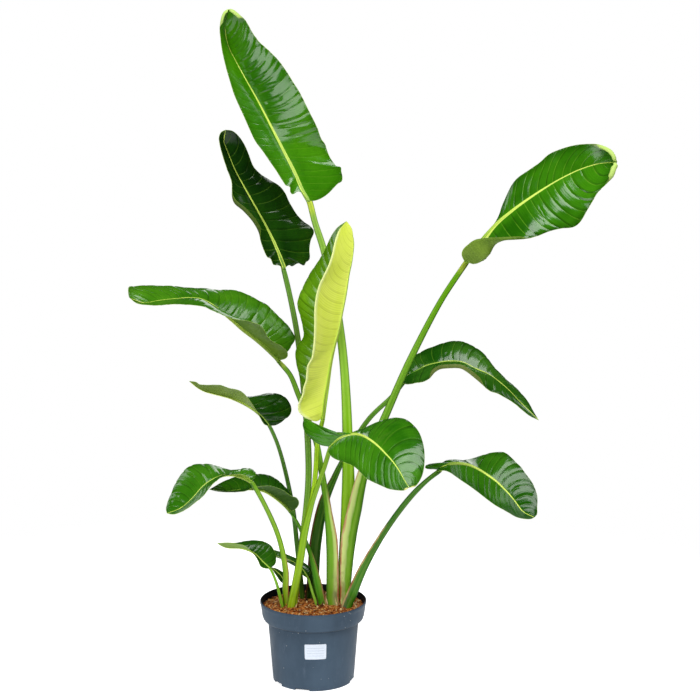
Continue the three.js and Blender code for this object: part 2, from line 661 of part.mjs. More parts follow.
function labelGeometry() {
  const { width, corner, cornerStep, columns } = LABEL;
  const straight = width - 2 * corner;
  const positions = [-width / 2, -width / 2 + cornerStep];
  for (let i = 0; i <= columns; i += 1) {
    positions.push(straight * (i / columns - 0.5));
  }
  positions.push(width / 2 - cornerStep, width / 2);
  const rings = positions.map(labelRing);
  return loft(rings, middleOf(rings[0]), middleOf(rings[rings.length - 1]));
}

// ---- soil ----
// A low mound that fills the pot, with a pocket for the foot of each stalk.
function soilGeometry() {
  const bodyTop = POT.height - POT.collarHeight;
  const bottom = POT.floor + GAP;
  const mound = latheAroundZ([
    [0, bottom],
    [innerRadius(bottom) - GAP, bottom],
    [POT.shoulderRadius - POT.wall - GAP, bodyTop],
    [innerRadius(SOIL.edgeZ) - GAP, SOIL.edgeZ],
    [SOIL.crownRadius, SOIL.crownZ],
    [0, SOIL.middleZ],
  ], SOIL.sides);
  let solid = toSolid(mound);
  for (const leaf of LEAVES) {
    solid = solid.subtract(toSolid(stalkGeometry(leaf, GAP)));
  }
  return toGeometry(solid);
}

// ---- the plant in its pot ----
const group = new THREE.Group();
addMesh(group, 'pot', potGeometry(), COLOUR.pot, ROUGHNESS.pot);
addMesh(group, 'label', labelGeometry(), COLOUR.label, ROUGHNESS.label);
addMesh(group, 'soil', soilGeometry(), COLOUR.soil, ROUGHNESS.soil);
for (const leaf of LEAVES) {
  addMesh(group, `${leaf.name}_blade`, bladeGeometry(leaf), leaf.bladeColour, ROUGHNESS.blade);
  addMesh(group, `${leaf.name}_stalk`, stalkGeometry(leaf), leaf.stalkColour, ROUGHNESS.stalk);
}

export default group;
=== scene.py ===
"""A potted bird of paradise plant: its looks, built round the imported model. Sizes and places are in
millimetres until a mesh is made. +X is right, the front faces -Y and +Z is up."""
import math

import bpy
import numpy as np
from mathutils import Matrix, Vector


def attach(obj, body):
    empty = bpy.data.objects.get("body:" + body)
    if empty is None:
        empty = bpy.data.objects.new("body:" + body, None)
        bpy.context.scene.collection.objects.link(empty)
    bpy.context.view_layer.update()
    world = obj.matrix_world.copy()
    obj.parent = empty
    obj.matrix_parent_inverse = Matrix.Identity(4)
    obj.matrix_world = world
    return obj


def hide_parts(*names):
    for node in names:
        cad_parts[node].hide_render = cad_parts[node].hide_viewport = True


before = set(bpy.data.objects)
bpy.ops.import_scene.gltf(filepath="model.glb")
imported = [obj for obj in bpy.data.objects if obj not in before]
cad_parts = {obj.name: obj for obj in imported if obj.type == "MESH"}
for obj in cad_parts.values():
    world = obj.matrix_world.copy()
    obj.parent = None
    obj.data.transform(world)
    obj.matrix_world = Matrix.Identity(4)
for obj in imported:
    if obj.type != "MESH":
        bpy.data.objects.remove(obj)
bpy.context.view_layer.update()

MM = 0.001
TAU = 2 * math.pi

# ---- driving dimensions, in millimetres ----
POT = {
    "height": 215, "rim": 140, "collar_foot": 133, "collar_height": 51, "shoulder": 120,
    "foot": 107, "wall": 3, "floor": 4,
}
SLOT = {"angles": [-105, -60, -15, 75, 120, 165], "width": 39, "height": 7, "depth": 12}
LABEL = {"width": 56, "height": 41, "corner": 3, "thickness": 0.5, "x": 8, "z": 110}
SOIL = {"edge": 196, "crown_radius": 79, "crown": 201, "middle": 204, "depth": 24}
FOOT_DEPTH = 20
BLADE_THICKNESS = 0.8
BLADE_SWELL = 0.05

# ---- the leaves ----
# A list of places is a text, "x y z, x y z, ...". A share goes from 0 at the foot to 1 at the tip.
# slots: the record's material slots, blade_... and stalk_...
# stalk: places from the soil to just below the blade, each with a width and a depth as well.
# midrib: from the blade's foot to its tip. left, right: the margins between foot and tip, as seen
# from the stalk, looking along the midrib at the upper face. right_fold: the middle line of a half
# that is folded.
# pleats: how many veins a half has. wave: how far its margin ripples. rib: the half width of the
# midrib's pale band at the foot. relief: how deep the creases of the left and the right half are.
# calm: the shares between which the relief grows to its full depth, if not from the start.
# roll: the curled lips of the left and of the right margin. Each has the shares where it starts, is
# full, is full no more and ends, its radius, and how pale it is.
# gloss: the upper face's specular level. paint, under_paint: see blade_face.
# upper, under, petiole: colours, 0 to 255, each list from dark to light or from foot to top.
# joint: the colour of the stalk's top. rim: the colour of a pale lip. sheath: see sheath_margin.
LEAVES = [dict(
    name="top_leaf", slots=("bright", "green"), pleats=30, wave=1.6, rib=6.0, relief=(0.12, 1.4),
    calm=(0.28, 0.5), roll=([(0.89, 0.93, 2, 3, 3.5, 1)], [(0.915, 0.945, 2, 3, 5.0, 1)]),
    paint=(0.45, 0.1, 0.35, 0.3, 0.12), upper=[(44, 112, 2), (72, 142, 10)],
    under=[(100, 140, 40), (176, 208, 110)], petiole=[(150, 196, 22), (124, 186, 8), (146, 188, 84)],
    joint=(196, 214, 70),
    stalk="""76 20 200 22 13, 84 18 330 34 14, 92 18 480 36 15, 91 21 620 28 16, 84 28 796 23 17,
        73 40 910 22 16, 54 50 1029 20 15, 29 58 1132 18 14, 6 62 1204 16 13""",
    midrib="""-9 64 1258, -27 67 1288, -48 72 1335, -78 76 1394, -108 80 1453, -142 84 1518, -171 84 1569,
        -195 82 1613, -212 78 1647, -220 68 1681, -218 47 1715, -208 30 1742""",
    left="""-28 59 1280, -38 57 1283, -46 54 1278, -52 53 1276, -57 52 1283, -58 51 1295, -68 50 1299,
        -75 50 1309, -93 49 1338, -128 48 1388, -146 48 1413, -167 49 1460, -201 51 1538, -223 49 1621,
        -230 43 1665, -232 37 1695, -228 27 1719, -220 26 1735""",
    right="""7 65 1259, 25 69 1266, 43 75 1279, 56 79 1293, 65 82 1302, 75 84 1308, 77 85 1319, 74 85 1334,
        73 84 1344, 62 85 1347, 55 86 1355, 47 87 1366, 41 86 1378, 36 83 1392, 33 77 1403, 23 68 1418,
        13 54 1446, -2 46 1476, -33 41 1537, -48 43 1560, -66 45 1589, -86 47 1616, -111 49 1641,
        -134 47 1662, -151 44 1686, -165 37 1711, -180 26 1728, -194 23 1739""",
), dict(
    name="second_leaf", slots=("deep", "dark"), pleats=16, wave=3.5, rib=6.2, relief=(0.6, 0.55),
    roll=([(0.24, 0.34, 0.52, 0.66, 5.0, 0)], []), gloss=0.28, upper=[(12, 46, 4), (34, 82, 10)],
    under=[(52, 76, 18), (84, 104, 34)], petiole=[(150, 186, 30), (92, 146, 44), (92, 140, 52)],
    stalk="""-55 -4 200 18 10, -36 -3 322 18 10, -20 4 440 16 11, -12 20 530 17 12, -13 42 610 17 13,
        -22 72 735 17 13, -42 98 904 15 12, -62 110 1009 14 11""",
    midrib="""-75 116 1076, -94 120 1127, -119 124 1179, -147 127 1231, -176 129 1283, -205 128 1338,
        -222 124 1382, -231 116 1411, -225 100 1440""",
    left="""-89 107 1087, -104 102 1090, -111 95 1106, -119 93 1110, -131 88 1140, -141 84 1175,
        -158 81 1205, -181 80 1231, -203 82 1250, -210 86 1267, -212 95 1306, -224 98 1342, -236 98 1383,
        -242 96 1419, -237 98 1433""",
    right="""-70 123 1083, -63 129 1086, -56 135 1083, -43 135 1091, -34 135 1092, -25 135 1086,
        -20 136 1094, -11 136 1101, -10 138 1130, -7 140 1149, 2 142 1174, -8 143 1189, -24 143 1200,
        -43 144 1220, -61 146 1250, -75 147 1278, -90 147 1294, -114 147 1308, -140 146 1324, -158 145 1344,
        -169 143 1374, -179 132 1401, -193 118 1424, -208 106 1437""",
), dict(
    name="left_leaf", slots=("mid", "green"), pleats=24, wave=2.5, rib=2.6, relief=(0.5, 0.8), gloss=0.32,
    upper=[(42, 106, 4), (84, 146, 24)], under=[(62, 100, 10), (94, 124, 30)],
    petiole=[(118, 166, 36), (106, 168, 26), (84, 148, 20)], joint=(190, 206, 80),
    sheath=dict(side=1, top=0.5, pale=(206, 220, 132), tan=[(208, 176, 128), (176, 100, 66)],
        base=(118, 124, 78), strength=0.8, inner=0.0),
    stalk="""51 -8 200 33 13, 51 -8 260 33 13, 49 -6 376 31 13, 40 -3 448 21 13, 34 2 490 18 13,
        22 12 560 16 13, 10 27 625 15 12, -5 38 668 15 12, -39 42 757 14 11, -60 42 808 13 11""",
    midrib="""-86 42 846, -111 37 872, -142 32 900, -178 28 928, -208 25 955, -233 22 976, -259 19 995,
        -284 16 1009, -314 13 1013, -350 9 1011, -391 5 1007, -421 2 1002, -447 0 1002, -469 -4 1016""",
    left="""-70 20 854, -65 12 863, -68 4 877, -81 -4 893, -98 -10 903, -112 -16 916, -122 -24 936,
        -133 -29 950, -158 -32 959, -188 -34 962, -216 -35 969, -251 -37 986, -271 -38 996, -304 -40 1000,
        -360 -38 1000, -412 -30 998, -444 -21 1001""",
    right="""-67 65 866, -57 75 881, -48 84 898, -56 89 915, -66 92 930, -82 94 947, -103 96 968,
        -121 96 986, -142 96 997, -165 95 1009, -189 93 1019, -212 91 1023, -246 87 1025, -274 82 1031,
        -321 76 1034, -384 64 1037, -434 48 1041, -460 32 1042, -471 14 1041, -471 -2 1029""",
), dict(
    name="right_top_leaf", slots=("bright", "green"), pleats=20, wave=2.5, rib=4.6, relief=(0.45, 1.0),
    roll=([(0.82, 0.89, 2, 3, 6.5, 1)], [(0.87, 0.92, 2, 3, 8.0, 1), (0.12, 0.18, 0.36, 0.46, 4.0, 0)]),
    gloss=0.38, paint=(0.95, 0.14, 0.75, 0.5, 0.35), upper=[(32, 94, 2), (62, 134, 10)],
    under=[(80, 114, 22), (148, 178, 70)], petiole=[(126, 178, 28), (80, 140, 10), (98, 160, 10)],
    joint=(190, 206, 70),
    sheath=dict(side=-1, top=0.5, pale=(212, 224, 140), tan=[(206, 186, 130), (176, 96, 56)],
        base=(150, 150, 84), inner=-0.1),
    stalk="""81 -4 200 22 12, 84 -4 240 27 13, 93 -3 376 40 14, 109 -1 460 38 14, 127 4 540 30 14,
        148 10 605 23 14, 196 24 718 20 14, 254 42 848 18 13, 335 60 1002 15 12""",
    midrib="""399 76 1099, 420 81 1130, 445 86 1163, 479 91 1200, 516 95 1230, 552 98 1256, 596 102 1285,
        643 104 1313, 689 103 1336, 729 97 1350, 758 81 1356, 784 58 1357""",
    left="""417 84 1125, 452 104 1167, 479 117 1202, 491 122 1226, 500 125 1252, 509 127 1277, 519 128 1297,
        534 128 1315, 552 128 1328, 575 127 1343, 595 126 1357, 615 124 1376, 638 121 1388, 669 115 1398,
        701 105 1403, 732 92 1403, 756 76 1397, 773 63 1385""",
    right="""389 54 1109, 385 45 1124, 390 38 1137, 403 34 1149, 420 30 1157, 446 26 1158, 476 21 1158,
        512 23 1159, 548 30 1163, 580 40 1170, 610 48 1181, 642 55 1188, 673 60 1191, 690 60 1203,
        707 58 1232, 720 53 1256, 733 48 1280, 748 44 1296, 767 43 1314, 780 45 1336""",
    right_fold="""426 60 1096, 453 48 1116, 475 50 1150, 534 53 1187, 619 66 1234, 699 72 1285,
        755 60 1328""",
), dict(
    name="young_leaf", slots=("lime", "lime"), pleats=26, wave=1.5, rib=3.0, relief=(1.1, 0.4),
    roll=([], [(0.03, 0.08, 0.92, 0.98, 1.5, 1)]), gloss=0.4, under_paint=(0.08, 0.2, 0.28, 0.0, 0.35),
    upper=[(70, 126, 2), (120, 174, 22)], under=[(214, 232, 70), (232, 242, 110)],
    petiole=[(166, 200, 8), (162, 202, 10), (150, 200, 24)], rim=(230, 240, 156),
    stalk="""-50 -17 200 16 9, -33 -18 325 16 9, -14 -19 440 14 10, 0 -17 500 13 10, 8 -12 566 13 11,
        13 -6 640 13 11""",
    midrib="""22 2 698, 29 1 719, 30 1 743, 35 0 775, 42 -3 827, 51 -6 875, 65 -9 927, 75 -12 977,
        86 -14 1031, 94 -16 1082, 103 -17 1126, 105 -18 1164, 101 -20 1193, 88 -22 1212""",
    left="""3 8 715, -17 16 751, -30 21 789, -38 24 818, -45 30 848, -46 32 869, -39 31 889, -25 29 909,
        -24 28 925, -31 31 958, -39 34 984, -40 34 997, -32 32 1023, -7 25 1073, 10 19 1099, 25 12 1123,
        39 5 1151, 52 -3 1177, 66 -11 1196""",
    right="""11 -7 694, -6 -22 700, -23 -32 712, -33 -39 724, -35 -46 740, -30 -53 756, -23 -58 772,
        -20 -63 791, -14 -66 809, -12 -69 828, -10 -72 847, 1 -75 868, 5 -78 891, 9 -82 955, 9 -83 993,
        13 -82 1026, 20 -80 1053, 32 -77 1079, 44 -72 1104, 53 -63 1131, 59 -53 1159, 68 -41 1186,
        79 -30 1203""",
), dict(
    name="left_middle_leaf", slots=("deep", "dark"), pleats=16, wave=2.0, rib=2.2, relief=(0.4, 0.8),
    gloss=0.34, upper=[(14, 54, 3), (38, 88, 14)], under=[(84, 110, 28), (112, 138, 50)],
    petiole=[(64, 116, 20), (46, 100, 26), (64, 124, 34)],
    stalk="""-30 46 200 14 10, -44 50 348 13 10, -54 56 442 12 10, -75 58 550 11 9, -95 48 625 10 8""",
    midrib="""-113 36 673, -135 26 702, -160 14 725, -188 -1 744, -220 -18 760, -249 -35 770, -283 -52 784,
        -312 -70 810""",
    left="""-126 19 680, -140 -1 708, -152 -16 734, -165 -28 757, -178 -38 776, -194 -46 785, -212 -54 790,
        -234 -62 799, -271 -70 800, -286 -71 802, -293 -70 807""",
    right="""-97 46 673, -78 57 683, -60 66 699, -57 72 715, -63 77 729, -75 80 743, -98 79 752,
        -118 74 754, -145 61 747, -168 48 746, -200 24 753, -251 -16 777""",
), dict(
    name="right_middle_leaf", slots=("mid", "dark"), pleats=18, wave=2.0, rib=2.2, relief=(0.8, 0.7),
    roll=([], [(0.23, 0.31, 0.56, 0.67, 5.0, 0)]), gloss=0.36, paint=(0.6, 0.14, 0.8, 0.5, 0.35),
    upper=[(26, 82, 6), (62, 116, 26)], under=[(88, 106, 42), (128, 140, 74)],
    petiole=[(26, 78, 4), (40, 104, 10), (74, 138, 28)],
    sheath=dict(side=-1, top=0.56, pale=(70, 96, 30), tan=[(130, 74, 44), (92, 50, 34)], base=(20, 22, 10),
        strength=0.3),
    stalk="""-8 50 200 30 13, -3 50 240 32 13, 6 52 360 32 13, 28 56 465 27 13, 52 62 520 18 12,
        76 66 570 14 11, 145 82 680 13 11, 210 94 743 12 10""",
    midrib="""250 106 794, 275 112 807, 299 118 819, 331 121 827, 362 122 831, 397 119 828, 433 112 811,
        465 104 798, 493 95 779, 519 84 757, 542 72 733, 565 59 712, 592 44 686""",
    left="""238 124 814, 254 140 836, 276 150 845, 298 157 856, 319 160 864, 346 163 874, 375 164 880,
        402 163 878, 426 160 868, 450 154 852, 466 148 835, 479 141 816, 497 133 797, 515 125 781,
        538 114 763, 553 103 746, 566 89 729, 579 66 707""",
    right="""231 90 782, 246 80 775, 273 64 783, 291 55 789, 306 49 799, 319 45 812, 334 44 821, 363 44 823,
        386 45 822, 402 47 814, 434 52 787, 450 54 773, 466 56 761, 482 57 756, 498 59 747, 517 60 736,
        533 60 725, 549 58 711, 569 52 696""",
), dict(
    name="front_leaf", slots=("mid", "lime"), pleats=18, wave=2.0, rib=4.6, relief=(0.6, 0.6),
    roll=([(0.955, 0.985, 2, 3, 2.5, 1)], [(0.93, 0.97, 2, 3, 2.5, 1)]), gloss=0.32,
    paint=(0.35, 0.14, 0.9, 0.4, 0.35), upper=[(34, 100, 4), (72, 140, 20)],
    under=[(96, 136, 40), (130, 164, 60)], petiole=[(150, 186, 16), (124, 168, 18), (112, 158, 30)],
    rim=(214, 220, 130),
    stalk="""-58 -30 200 21 11, -46 -32 262 20 11, -33 -34 331 20 11, -20 -38 410 19 11, -8 -41 460 15 10,
        1 -44 494 13 10, 30 -52 580 12 10""",
    midrib="""46 -60 637, 69 -76 662, 84 -87 672, 102 -100 679, 122 -116 681, 137 -130 677, 152 -144 670,
        172 -165 657, 186 -181 645, 198 -193 634, 208 -203 623, 220 -215 607, 230 -227 590, 242 -240 573""",
    left="""17 -49 642, -6 -38 658, -19 -32 672, -24 -27 688, -20 -24 702, -9 -24 699, 4 -29 678,
        25 -34 665, 53 -42 661, 81 -49 668, 112 -54 679, 143 -58 692, 168 -63 704, 194 -70 713, 216 -82 718,
        236 -95 717, 256 -114 706, 270 -133 690, 279 -156 667, 282 -177 642, 281 -192 623, 277 -206 602,
        269 -218 586, 258 -229 575""",
    right="""42 -75 627, 51 -87 617, 66 -100 611, 84 -116 608, 99 -132 606, 112 -148 602, 124 -161 593,
        137 -175 582, 152 -186 576, 171 -198 570, 191 -211 564, 210 -223 563, 229 -234 565""",
), dict(
    name="low_right_leaf", slots=("mid", "green"), pleats=18, wave=2.0, rib=3.2, relief=(0.9, 0.35),
    gloss=0.3, paint=(0.4, 0.14, 0.9, 0.4, 0.35), upper=[(24, 82, 2), (52, 112, 14)],
    under=[(90, 128, 36), (120, 150, 56)], petiole=[(60, 132, 8), (30, 98, 4), (38, 104, 6)],
    sheath=dict(side=-1, top=0.6, pale=(110, 140, 60), tan=[(196, 172, 118), (150, 92, 62)],
        base=(96, 78, 88), strength=0.3),
    stalk="""88 -26 200 28 13, 103 -30 241 28 13, 132 -38 312 23 13, 171 -46 385 17 12, 208 -54 445 15 11,
        242 -63 494 15 10, 269 -69 527 14 10, 298 -77 557 12 10""",
    midrib="""324 -84 582, 333 -88 592, 344 -91 598, 359 -94 603, 376 -98 604, 394 -101 602, 411 -105 596,
        429 -109 587, 446 -113 576, 464 -121 564, 481 -129 549, 495 -138 536, 506 -146 524, 517 -153 510,
        526 -160 498, 537 -166 490, 559 -172 481""",
    left="""290 -69 584, 294 -61 590, 310 -56 586, 324 -53 583, 331 -52 592, 343 -50 600, 362 -48 601,
        382 -47 599, 400 -46 600, 431 -46 610, 452 -46 617, 468 -52 622, 484 -58 625, 496 -65 623,
        507 -73 615, 532 -94 593, 543 -106 578, 556 -117 562, 565 -129 543, 569 -141 525, 567 -157 503,
        566 -166 488""",
    right="""318 -92 581, 336 -95 583, 351 -96 578, 368 -103 568, 383 -109 558, 406 -116 543, 423 -120 531,
        443 -124 516, 464 -130 502, 482 -136 493, 498 -143 485, 515 -154 477, 533 -165 475, 551 -169 476""",
), dict(
    name="low_left_leaf", slots=("mid", "lime"), pleats=16, wave=2.0, rib=2.2, relief=(0.7, 1.2),
    gloss=0.42, upper=[(34, 98, 3), (66, 128, 20)], under=[(98, 130, 34), (118, 146, 52)],
    petiole=[(150, 184, 20), (120, 166, 18), (106, 156, 34)],
    sheath=dict(side=1, top=0.45, pale=(176, 200, 70), tan=[(176, 150, 84), (172, 96, 70)],
        base=(150, 140, 60), strength=0.4),
    stalk="""-70 -16 200 16 10, -72 -22 250 18 10, -71 -30 298 16 10, -86 -56 393 13 10,
        -119 -82 485 12 9""",
    midrib="""-153 -99 556, -175 -104 569, -195 -108 576, -217 -112 577, -237 -115 572, -260 -118 560,
        -278 -122 546, -295 -127 527, -313 -132 509, -332 -137 495, -365 -144 484""",
    left="""-161 -118 572, -180 -132 582, -205 -141 582, -225 -145 577, -242 -148 565, -257 -151 549,
        -272 -152 531, -290 -154 516, -310 -154 500, -331 -151 488, -349 -147 482""",
    right="""-144 -88 568, -146 -74 577, -159 -66 583, -178 -59 580, -196 -54 575, -214 -51 575,
        -240 -48 582, -258 -48 589, -281 -49 592, -304 -54 591, -321 -61 584, -338 -74 567, -350 -86 548,
        -359 -101 525, -366 -119 506, -368 -135 493""",
), dict(
    name="low_back_leaf", slots=("mid", "green"), pleats=16, wave=2.0, rib=1.8, relief=(0.5, 0.7),
    gloss=0.4, upper=[(20, 68, 2), (46, 102, 10)], under=[(36, 72, 2), (56, 92, 8)],
    petiole=[(80, 148, 16), (68, 140, 16), (82, 148, 24)],
    sheath=dict(side=1, top=0.6, pale=(120, 160, 50), tan=[(196, 168, 112), (150, 96, 60)],
        base=(56, 34, 22), strength=0.4),
    stalk="""22 -6 200 24 11, 11 -2 262 21 11, -5 8 327 13 10, -17 16 360 11 9, -40 18 413 9 8""",
    midrib="""-58 12 450, -72 9 466, -89 5 482, -110 1 498, -130 -3 509, -156 -8 514, -189 -15 514,
        -225 -22 512, -268 -32 519""",
    left="""-48 -3 457, -37 -11 471, -35 -16 484, -42 -20 496, -56 -24 502, -73 -29 516, -95 -36 526,
        -123 -43 530, -156 -49 527, -171 -50 520, -213 -48 516, -247 -40 516""",
    right="""-51 26 460, -59 40 492, -72 44 507, -90 46 524, -111 46 537, -135 43 542, -182 32 542,
        -230 10 531""",
), dict(
    name="small_left_leaf", slots=("mid", "green"), pleats=12, wave=1.2, rib=1.6, relief=(0.4, 0.5),
    gloss=0.36, upper=[(24, 76, 6), (52, 108, 18)], under=[(92, 126, 46), (116, 144, 62)],
    petiole=[(118, 170, 24), (110, 168, 26), (118, 174, 36)],
    stalk="""-81 -29 200 10 8, -86 -29 230 9 7, -98 -29 275 7 6""",
    midrib="""-111 -30 307, -133 -33 329, -150 -37 348, -168 -40 359, -189 -45 366, -219 -51 368,
        -237 -55 375, -247 -58 383""",
    left="""-122 -38 309, -135 -44 316, -141 -48 331, -148 -53 346, -161 -59 365, -174 -63 377,
        -192 -66 383, -218 -65 386""",
    right="""-98 -21 317, -96 -14 331, -102 -8 351, -113 -6 365, -131 -7 374, -154 -12 378, -177 -21 378,
        -200 -32 377, -225 -45 381""",
), dict(
    name="small_back_leaf", slots=("mid", "green"), pleats=12, wave=1.0, rib=1.4, relief=(0.4, 0.4),
    upper=[(36, 92, 14), (60, 116, 30)], under=[(92, 126, 46), (116, 144, 62)],
    petiole=[(134, 180, 44), (130, 178, 42), (124, 174, 38)],
    stalk="""10 -22 200 8 7, -3 -10 240 7 6""",
    midrib="""-14 14 269, -33 22 294, -61 24 313, -98 20 326, -137 8 351""",
    left="""-24 11 274, -43 12 296, -76 7 317, -107 3 332""",
    right="""-6 24 288, -25 34 305, -62 36 323, -101 28 340""",
), dict(
    name="foot_leaflet", slots=("deep", "dark"), pleats=8, wave=0.6, rib=0.9, relief=(0.3, 0.3),
    upper=[(20, 66, 6), (40, 92, 14)], under=[(70, 110, 30), (100, 130, 46)],
    petiole=[(84, 134, 50), (78, 130, 50), (70, 124, 46)],
    stalk="""-66 8 200 6 5, -70 0 232 5 4""",
    midrib="""-74 -6 258, -84 -10 281, -100 -14 298, -111 -16 307""",
    left="""-84 -12 265, -97 -16 285""",
    right="""-72 0 278, -92 -8 299""",
)]


# ---- curves ----
def places(text):
    """The rows of numbers in a text of places."""
    return np.array([place_text.split() for place_text in text.split(",")], float)


def catmull_rom(points, t):
    """Points at t, from 0 to 1, on the centripetal Catmull-Rom curve through the points."""
    padded = np.vstack([2 * points[0] - points[1], points, 2 * points[-1] - points[-2]])
    spot = np.clip(t, 0, 1) * (len(points) - 1)
    cell = np.minimum(spot.astype(int), len(points) - 2)
    w = (spot - cell)[:, None]
    p0, p1, p2, p3 = (padded[cell + k] for k in range(4))
    d0, d1, d2 = (np.maximum(np.linalg.norm(b - a, axis=1), 1e-6)[:, None] ** 0.5
                  for a, b in ((p0, p1), (p1, p2), (p2, p3)))
    start = ((p1 - p0) / d0 - (p2 - p0) / (d0 + d1) + (p2 - p1) / d1) * d1
    end = ((p2 - p1) / d1 - (p3 - p1) / (d1 + d2) + (p3 - p2) / d2) * d1
    c2 = 3 * (p2 - p1) - 2 * start - end
    c3 = 2 * (p1 - p2) + start + end
    return p1 + start * w + c2 * w ** 2 + c3 * w ** 3


def measure(points):
    """Close values of t along a curve, and the curve's length up to each."""
    t = np.linspace(0, 1, 60 * len(points))
    steps = np.linalg.norm(np.diff(catmull_rom(points, t), axis=0), axis=1)
    return t, np.concatenate([[0], np.cumsum(steps)])


def along_curve(points, u):
    """Points at equal shares u of the curve's length."""
    t, reach = measure(points)
    return catmull_rom(points, np.interp(u, reach / reach[-1], t))


def unit(v):
    return v / np.maximum(np.linalg.norm(v, axis=-1, keepdims=True), 1e-9)


def smooth_step(low, high, x):
    t = np.clip((np.asarray(x, float) - low) / (high - low), 0, 1)
    return t * t * (3 - 2 * t)


def wander(rng, x, knots):
    """A smooth random line from about -1 to 1 over x from 0 to 1."""
    values = rng.uniform(-1, 1, knots + 3)
    spot = np.clip(x, 0, 1) * knots
    cell = spot.astype(int)
    w = smooth_step(0, 1, spot - cell)
    return values[cell] * (1 - w) + values[cell + 1] * w


# ---- meshes ----
def add_object(name, vertices, faces, materials, face_materials=None, uv=None, layers=None, sharp=None):
    """A smooth mesh object. uv: one pair per vertex. layers: named numbers per vertex. sharp: the
    angle in degrees from which an edge is sharp."""
    mesh = bpy.data.meshes.new(name)
    points = np.asarray(vertices, float) * MM
    mesh.from_pydata(points.tolist(), [], [tuple(map(int, f)) for f in faces])
    for material in materials:
        mesh.materials.append(material)
    mesh.polygons.foreach_set("use_smooth", [True] * len(mesh.polygons))
    if face_materials is not None:
        mesh.polygons.foreach_set("material_index", np.asarray(face_materials, np.int32))
    if uv is not None:
        corners = np.zeros(len(mesh.loops), np.int32)
        mesh.loops.foreach_get("vertex_index", corners)
        layer = mesh.uv_layers.new(name="UVMap")
        layer.data.foreach_set("uv", np.asarray(uv, np.float32)[corners].ravel())
    for key, values in (layers or {}).items():
        layer = mesh.attributes.new(key, "FLOAT", "POINT")
        layer.data.foreach_set("value", np.asarray(values, np.float32).ravel())
    mesh.validate()
    mesh.update()
    if sharp is not None:
        mesh.set_sharp_from_angle(angle=math.radians(sharp))
    obj = bpy.data.objects.new(name, mesh)
    bpy.context.scene.collection.objects.link(obj)
    return obj


def place(obj, slot, *nodes):
    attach(obj, "root")
    if nodes:
        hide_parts(*nodes)


def grid_faces(rows, columns):
    """Faces of a grid of vertices that is stored row by row."""
    i = np.arange(rows - 1)[:, None] * columns + np.arange(columns - 1)[None, :]
    return np.stack([i, i + 1, i + columns + 1, i + columns], -1).reshape(-1, 4)


def ring_faces(rings, sides, caps, first=0):
    """Faces of a tube of rings, with a fan to each of the two cap vertices."""
    start = first + np.arange(rings - 1)[:, None] * sides
    i = np.arange(sides)[None, :]
    j = (i + 1) % sides
    faces = np.stack([start + i, start + j, start + sides + j, start + sides + i], -1)
    faces = [tuple(f) for f in faces.reshape(-1, 4)]
    last = first + (rings - 1) * sides
    for k in range(sides):
        after = (k + 1) % sides
        faces += [(caps[0], first + after, first + k), (caps[1], last + k, last + after)]
    return faces


# ---- materials ----
def colour(rgb):
    """An sRGB colour, 0 to 255, as linear light. Four numbers are linear already."""
    if len(rgb) == 4:
        return rgb
    c = np.asarray(rgb, float) / 255
    linear = np.where(c <= 0.04045, c / 12.92, ((c + 0.055) / 1.055) ** 2.4)
    return (*linear.tolist(), 1.0)


